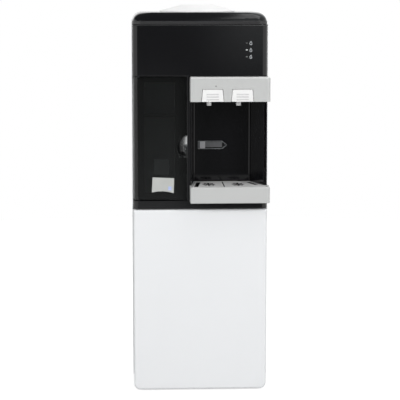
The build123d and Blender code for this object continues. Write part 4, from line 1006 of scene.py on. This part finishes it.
class DISPENSER_OT_taps(bpy.types.Operator):
    """Silver fascia, white paddles, tap bodies and the valves behind them."""

    bl_idname = "dispenser.taps"
    bl_label = "Taps"

    def execute(self, context):
        edge = context.scene.dispenser_sizes.moulded_edge
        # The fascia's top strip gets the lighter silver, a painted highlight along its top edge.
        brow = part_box("tap_fascia")[1].z - FASCIA_BROW * MM
        refinish(dress("tap_fascia", edge), "silver_edge_painted_highlight", lambda face: face.center.z > brow)
        for side in ("left", "right"):
            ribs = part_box(side + "_paddle")[0].y + RIB_RISE * MM
            paddle = dress(side + "_paddle", edge / 2)
            # The ribs are coloured grey, painted shade for the shadow that falls under them.
            refinish(paddle, "rib_painted_shade", lambda face: face.center.y < ribs)
            dress(side + "_tap_body", edge / 2)
            dress(side + "_valve_plug")
        dress("paddle_pins")
        dress("tap_bonnets")
        self.wind_springs()
        return {"FINISHED"}

    def wind_springs(self):
        """Valve springs wound in place of their CAD nodes, each with a mesh of its own."""
        tree = coil_tree()
        for side in ("left", "right"):
            node = side + "_tap_spring"
            spring = wind(node, tree, SPRING_WIRE * MM, SPRING_TURNS, "bright_steel")
            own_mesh(spring)


class DISPENSER_OT_drip_tray(bpy.types.Operator):
    """Silver tray and its grille, with painted shade in the tray's well, on the grille's walls and
    as a dark disc in each rosette.
    """

    bl_idname = "dispenser.drip_tray"
    bl_label = "Drip tray"

    def execute(self, context):
        edge = context.scene.dispenser_sizes.moulded_edge
        self.paint_well_shade(dress("drip_tray", edge / 2))
        grille = dress("drip_grille", edge / 4, "matt_silver")
        # The grille's walls are painted dark: painted shade in its slots and round its edge.
        refinish(grille, "painted_shade_plastic", lambda face: abs(face.normal.z) < WALL_SLOPE)
        self.set_shade_discs()
        return {"FINISHED"}

    def paint_well_shade(self, tray):
        """Paints the tray's inside dark as painted shade: its floor, and the walls facing each
        other.
        """
        corners = [corner.co for corner in tray.data.vertices]
        walls = BVHTree.FromPolygons(corners, [face.vertices for face in tray.data.polygons])
        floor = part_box("drip_tray")[0].z + TRAY_WALL * MM
        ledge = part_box("drip_grille")[0].z - TRAY_WALL * MM

        def in_well(face):
            clear = face.center + face.normal * MERGE_DISTANCE
            faced = walls.ray_cast(clear, face.normal)[0] is not None
            return (faced or face.normal.z > WALL_SLOPE) and floor < face.center.z < ledge

        refinish(tray, "painted_shade_plastic", in_well)

    def set_shade_discs(self):
        """A dark disc in the middle of each drain rosette: painted shade where the drain holes
        are.
        """
        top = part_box("drip_grille")[1].z
        spots = []
        for side in ("left", "right"):
            low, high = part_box(side + "_valve_plug")
            spots.append(((low.x + high.x) / 2, (low.y + high.y) / 2 + ROSETTE_BACK * MM, top))
        wide, deep, rise = SHADE_DISC_HALF
        shade_disc = {"Length": 2 * wide * MM, "Rise": deep * MM, "Height": 2 * rise * MM}
        tree = dome_tree("Rosette shade discs")
        grow("rosette_shade_discs", tree, spots, shade_disc, "painted_shade_plastic", body_of_node("drip_grille"))


class DISPENSER_OT_indicators(bpy.types.Operator):
    """Circuit board, lamps and the printed drop beside each lamp."""

    bl_idname = "dispenser.indicators"
    bl_label = "Indicators"

    def execute(self, context):
        ink = context.scene.dispenser_sizes.ink
        dress("indicator_board")
        dress("indicator_lamps")
        low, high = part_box("indicator_lamps")
        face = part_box("upper_front_panel")[0].y
        middle = (low.z + high.z) / 2 / MM
        for row, name in enumerate(("upper", "middle", "lower")):
            z = middle + (1 - row) * LAMP_PITCH
            outlines = [self.drop(z), self.drop(z - DROP_HOLE_SINK, DROP_HOLE)]
            prism(f"{name}_drop_print", outlines, face - ink, 2 * ink, "print", "cabinet")
        return {"FINISHED"}

    def drop(self, z, scale=1.0):
        """A water drop's outline, its tip up."""
        outline = []
        for turn in turns(DROP_POINTS):
            narrow = math.sin(turn / 2) ** DROP_TAPER
            across = scale * DROP_WIDTH / 2 * math.sin(turn) * narrow * DROP_BELLY
            outline.append((DROP_X + across, z + scale * DROP_HEIGHT / 2 * math.cos(turn)))
        return outline


class DISPENSER_OT_stickers(bpy.types.Operator):
    """Plain label and film on the door, arrow label in the bay and the pip on the fascia."""

    bl_idname = "dispenser.stickers"
    bl_label = "Stickers"

    def execute(self, context):
        sizes = context.scene.dispenser_sizes
        paper, ink = sizes.sticker, sizes.ink
        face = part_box("cup_door")[0].y
        prism("door_sticker", [DOOR_STICKER], face - paper, 2 * paper, "sticker", "cup_door")
        prism("door_film", [DOOR_FILM], face - ink, 2 * ink, "film", "cup_door")
        front = face - paper - ink
        prism("door_sticker_seal", [DOOR_SEAL], front, 2 * ink, "seal", "cup_door")
        wall = BAY_WALL_Y * MM
        prism("bay_label", [BAY_LABEL], wall - paper, 2 * paper, "film", "cabinet")
        front = wall - paper - ink
        inner = [
            [
                mid + (value - mid) * share
                for value, mid, share in zip(corner, LABEL_MID, LABEL_SHRINK)
            ]
            for corner in BAY_LABEL
        ]
        prism("bay_label_border", [BAY_LABEL, inner], front, 2 * ink, "print", "cabinet")
        prism("bay_label_patch", [LABEL_PATCH], front, 2 * ink, "light_print", "cabinet")
        prism("bay_label_band", [LABEL_BAND], front, 2 * ink, "dim_print", "cabinet")
        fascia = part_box("tap_fascia")[0].y
        dot = [
            (PIP_X + PIP_RADIUS * math.sin(turn), PIP_Z + PIP_RADIUS * math.cos(turn))
            for turn in turns(PIP_POINTS)
        ]
        prism("fascia_pip", [dot], fascia - paper, 2 * paper, "pip", "cabinet")
        return {"FINISHED"}


class DISPENSER_OT_tanks(bpy.types.Operator):
    """Cold and hot tanks, their decks, jacket, heater, coil and hoses."""

    bl_idname = "dispenser.tanks"
    bl_label = "Tanks and hoses"

    def execute(self, context):
        for node in (
            "tank_cap", "cold_tank", "cold_tank_jacket", "tank_deck", "hot_deck", "hot_tank",
            "heater_band", "cold_hose", "hot_hose", "hot_feed_hose", "drain_hoses",
        ):
            dress(node)
        wind("evaporator_coil", coil_tree(), COIL_TUBE * MM, COIL_TURNS, "copper")
        return {"FINISHED"}


class DISPENSER_OT_cooling(bpy.types.Operator):
    """Compressor, its pipes, and the wire-and-tube condenser."""

    bl_idname = "dispenser.cooling"
    bl_label = "Cooling circuit"

    def execute(self, context):
        for node in (
            "compressor", "compressor_grommets", "relay_cover", "suction_pipe",
            "discharge_pipe", "filter_drier", "condenser_tube",
        ):
            dress(node)
        dress("condenser_clips", context.scene.dispenser_sizes.moulded_edge)
        self.string_wires("condenser_wires")
        return {"FINISHED"}

    def string_wires(self, node):
        """The condenser's wires, evenly set in their CAD node's box."""
        low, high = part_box(node)
        radius = WIRE_RADIUS * MM
        inputs = {
            "Wires": WIRE_COUNT,
            "Pitch": (high.x - low.x - 2 * radius) / (WIRE_COUNT - 1),
            "Row Gap": high.y - low.y - 2 * radius,
            "Wire Radius": radius,
            "Length": high.z - low.z,
        }
        start = (low.x + radius, (low.y + high.y) / 2, (low.z + high.z) / 2)
        key = "black_metal"
        wires = grow(node + "_dressed", wire_tree(), [start], inputs, key, "cabinet")
        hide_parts(node)


class DISPENSER_OT_rear_fittings(bpy.types.Operator):
    """Drains, switches, cord bush, power box, panel screws and louvre hoods."""

    bl_idname = "dispenser.rear_fittings"
    bl_label = "Rear fittings"

    def execute(self, context):
        sizes = context.scene.dispenser_sizes
        for node in ("drain_spouts", "drain_caps", "cord_gland"):
            dress(node)
        for node in ("switch_housings", "heat_rocker", "cool_rocker", "power_box"):
            dress(node, sizes.moulded_edge / 2)
        self.drive_screws(sizes)
        self.press_hoods(sizes)
        self.rib_caps(sizes)
        return {"FINISHED"}

    def drive_screws(self, sizes):
        """Screws down both sides of the rear panel and along its top and lower edges."""
        low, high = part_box("rear_panel")
        inset = SCREW_INSET * MM
        span = high.z - low.z - 2 * inset
        rows = [low.z + inset + step / (SCREW_ROWS - 1) * span for step in range(SCREW_ROWS)]
        side = high.x - inset
        points = [(x, high.y, z) for x in (-side, side) for z in rows]
        points += [(x, high.y, z) for x in (-side / 3, side / 3) for z in (rows[0], rows[-1])]
        screw = {
            "Head Radius": sizes.screw_radius,
            "Head Height": sizes.screw_height,
            "Recess": sizes.screw_radius * RECESS_SHARE,
        }
        key = "bright_steel"
        grow("rear_panel_screws", screw_tree(), points, screw, key, "cabinet")

    def press_hoods(self, sizes):
        """A pressed hood over each vent."""
        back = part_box("rear_panel")[1].y
        lowest = VENT_Z + VENT_HEIGHT / 2 + HOOD_LIFT
        vents = [
            (VENT_X * MM, back, (lowest + row * VENT_PITCH) * MM) for row in range(VENT_COUNT)
        ]
        hood = {
            "Length": (VENT_WIDTH + HOOD_OVERLAP) * MM,
            "Rise": sizes.hood_rise,
            "Height": HOOD_HEIGHT * MM,
        }
        key = "galvanised"
        grow("rear_louvre_hoods", dome_tree("Louvre hoods"), vents, hood, key, "cabinet")

    def rib_caps(self, sizes):
        """Grip ribs round both drain caps."""
        low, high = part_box("drain_caps")
        radius = (high.z - low.z) / 2
        y, z = (low.y + high.y) / 2, (low.z + high.z) / 2
        spots = [(x, y, z) for x in (low.x + radius, high.x - radius)]
        grip = {
            "Ribs": GRIP_RIBS,
            "Ring Radius": radius,
            "Rib Radius": sizes.rib_radius,
            "Length": (high.y - low.y) * GRIP_SHARE,
        }
        key = "dark_plastic"
        grow("drain_cap_ribs", grip_tree(), spots, grip, key, "cabinet")


# Stage


def seen_rays(tree):
    """1 for camera, glossy and transmission rays, 0 for the rest."""
    path = add_node(tree, "ShaderNodeLightPath").outputs
    both = math_node(tree, "ADD", path["Is Camera Ray"], path["Is Glossy Ray"], clamp=True)
    return math_node(tree, "ADD", both, path["Is Transmission Ray"], clamp=True)


def flat_surface(name, corners, material):
    """A flat piece of the stage."""
    mesh = bpy.data.meshes.new(name)
    mesh.from_pydata(corners, [], [tuple(range(len(corners)))])
    mesh.materials.append(material)
    piece = bpy.data.objects.new(name, mesh)
    bpy.context.scene.collection.objects.link(piece)
    return piece


def softbox(name, place, target, size, power, mirrored=False):
    """An area lamp that faces a point, and shows in reflections only if mirrored."""
    lamp = bpy.data.lights.new(name, "AREA")
    lamp.shape = "RECTANGLE"
    lamp.size, lamp.size_y = size
    lamp.energy = power
    holder = bpy.data.objects.new(name, lamp)
    holder.location = place
    holder.rotation_euler = (Vector(target) - Vector(place)).to_track_quat("-Z", "Y").to_euler()
    holder.visible_glossy = mirrored
    bpy.context.scene.collection.objects.link(holder)


class DISPENSER_OT_stage(bpy.types.Operator):
    """Pale floor, white surroundings, grey curtain, three softboxes and the camera."""

    bl_idname = "dispenser.stage"
    bl_label = "Stage"

    def execute(self, context):
        stage = context.scene.dispenser_stage
        self.light_room(context.scene, stage)
        self.lay_floor()
        self.hang_curtain()
        softbox("key_softbox", KEY_PLACE, STAGE_MIDDLE, SIDE_BOX, stage.key_power)
        softbox("fill_softbox", FILL_PLACE, STAGE_MIDDLE, SIDE_BOX, stage.fill_power)
        below = (*TOP_PLACE[:2], 0.0)
        softbox("top_softbox", TOP_PLACE, below, TOP_BOX, stage.top_power, mirrored=True)
        self.set_camera(context.scene, stage)
        return {"FINISHED"}

    def light_room(self, scene, stage):
        """A world that looks white and lights the object at the ambient level."""
        world = bpy.data.worlds.new("White studio")
        world.use_nodes = True
        tree = world.node_tree
        tree.nodes.clear()
        room, white = (
            made(tree, "ShaderNodeBackground", ("Color", WHITE), ("Strength", level))
            for level in (stage.ambient, 1.0)
        )
        mixed = made(tree, "ShaderNodeMixShader", (0, seen_rays(tree)), (1, room), (2, white))
        finish_surface(tree, mixed, "ShaderNodeOutputWorld")
        scene.world = world
        scene.view_settings.view_transform = "Standard"

    def lay_floor(self):
        """A pale round floor that keeps the object's shadow."""
        material, tree = node_material("Pale floor")
        cloth = made(tree, "ShaderNodeBsdfDiffuse", ("Color", FLOOR_GREY))
        strength = math_node(tree, "MULTIPLY", seen_rays(tree), FLOOR_GLOW)
        glow = made(tree, "ShaderNodeEmission", ("Color", WHITE), ("Strength", strength))
        finish_surface(tree, made(tree, "ShaderNodeAddShader", (0, cloth), (1, glow)))
        corners = [
            (FLOOR_REACH * math.cos(turn), FLOOR_REACH * math.sin(turn), 0.0)
            for turn in turns(FLOOR_POINTS)
        ]
        flat_surface("pale_floor", corners, material)

    def hang_curtain(self):
        """A grey curtain and canopy, seen only in reflections."""
        material, tree = node_material("Grey curtain")
        where = add_node(tree, "ShaderNodeTexCoord").outputs["Object"]
        place = add_node(tree, "ShaderNodeSeparateXYZ", [(0, where)]).outputs
        level = CURTAIN_LEVEL
        for patch, ramps in CURTAIN_PATCHES:
            for axis, dark, lit in ramps:
                ramp = made(
                    tree, "ShaderNodeMapRange",
                    ("Value", place[axis]), ("From Min", dark), ("From Max", lit),
                    interpolation_type="SMOOTHSTEP",
                )
                patch = math_node(tree, "MULTIPLY", ramp, patch)
            level = math_node(tree, "ADD", patch, level)
        cloth = made(tree, "ShaderNodeEmission", ("Color", CURTAIN_TINT), ("Strength", level))
        finish_surface(tree, cloth)
        front, top = CURTAIN_FRONT, CANOPY_HEIGHT
        sheets = {
            "grey_curtain": [
                (-CURTAIN_HALF, front, CURTAIN_LOW), (CURTAIN_HALF, front, CURTAIN_LOW),
                (CURTAIN_HALF, front, top), (-CURTAIN_HALF, front, top),
            ],
            "grey_canopy": [
                (-CANOPY_HALF, front, top), (CANOPY_HALF, front, top),
                (CANOPY_HALF, CANOPY_BACK, top), (-CANOPY_HALF, CANOPY_BACK, top),
            ],
        }
        for name, corners in sheets.items():
            sheet = flat_surface(name, corners, material)
            sheet.visible_camera = False
            sheet.visible_diffuse = False
            sheet.visible_shadow = False

    def set_camera(self, scene, stage):
        """The camera at the photograph's viewing angle."""
        lens = bpy.data.cameras.new("Photo view")
        lens.lens = stage.lens
        lens.sensor_width = SENSOR_WIDTH
        lens.clip_end = CLIP_END
        camera = bpy.data.objects.new("photo_camera", lens)
        place = Vector((-stage.camera_x, -stage.camera_y, stage.camera_z))
        aim = Vector((stage.aim_x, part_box("lower_front_panel")[0].y, stage.aim_z))
        camera.location = place
        camera.rotation_euler = (aim - place).to_track_quat("-Z", "Y").to_euler()
        scene.collection.objects.link(camera)
        scene.camera = camera


# Panel and registration

OPERATORS = (
    DISPENSER_OT_cabinet,
    DISPENSER_OT_front_mouldings,
    DISPENSER_OT_top,
    DISPENSER_OT_cup_cupboard,
    DISPENSER_OT_taps,
    DISPENSER_OT_drip_tray,
    DISPENSER_OT_indicators,
    DISPENSER_OT_stickers,
    DISPENSER_OT_tanks,
    DISPENSER_OT_cooling,
    DISPENSER_OT_rear_fittings,
    DISPENSER_OT_stage,
)


class DISPENSER_PT_panel(bpy.types.Panel):
    """Lists the dispenser's pieces in the 3D view's sidebar."""

    bl_idname = "DISPENSER_PT_panel"
    bl_label = "Water dispenser"
    bl_space_type = "VIEW_3D"
    bl_region_type = "UI"
    bl_category = "Dispenser"

    def draw(self, context):
        for operator in OPERATORS:
            self.layout.operator(operator.bl_idname)


PROPERTY_GROUPS = {
    "dispenser_colours": DispenserColours,
    "dispenser_sizes": DispenserSizes,
    "dispenser_stage": DispenserStage,
}


def register():
    for group in PROPERTY_GROUPS.values():
        bpy.utils.register_class(group)
    for name, group in PROPERTY_GROUPS.items():
        setattr(bpy.types.Scene, name, bpy.props.PointerProperty(type=group))
    for operator in OPERATORS:
        bpy.utils.register_class(operator)
    bpy.utils.register_class(DISPENSER_PT_panel)


def unregister():
    bpy.utils.unregister_class(DISPENSER_PT_panel)
    for operator in reversed(OPERATORS):
        bpy.utils.unregister_class(operator)
    for name, group in PROPERTY_GROUPS.items():
        delattr(bpy.types.Scene, name)
        bpy.utils.unregister_class(group)


def main():
    register()
    for operator in OPERATORS:
        family, action = operator.bl_idname.split(".")
        getattr(getattr(bpy.ops, family), action)()


if __name__ == "__main__":
    main()
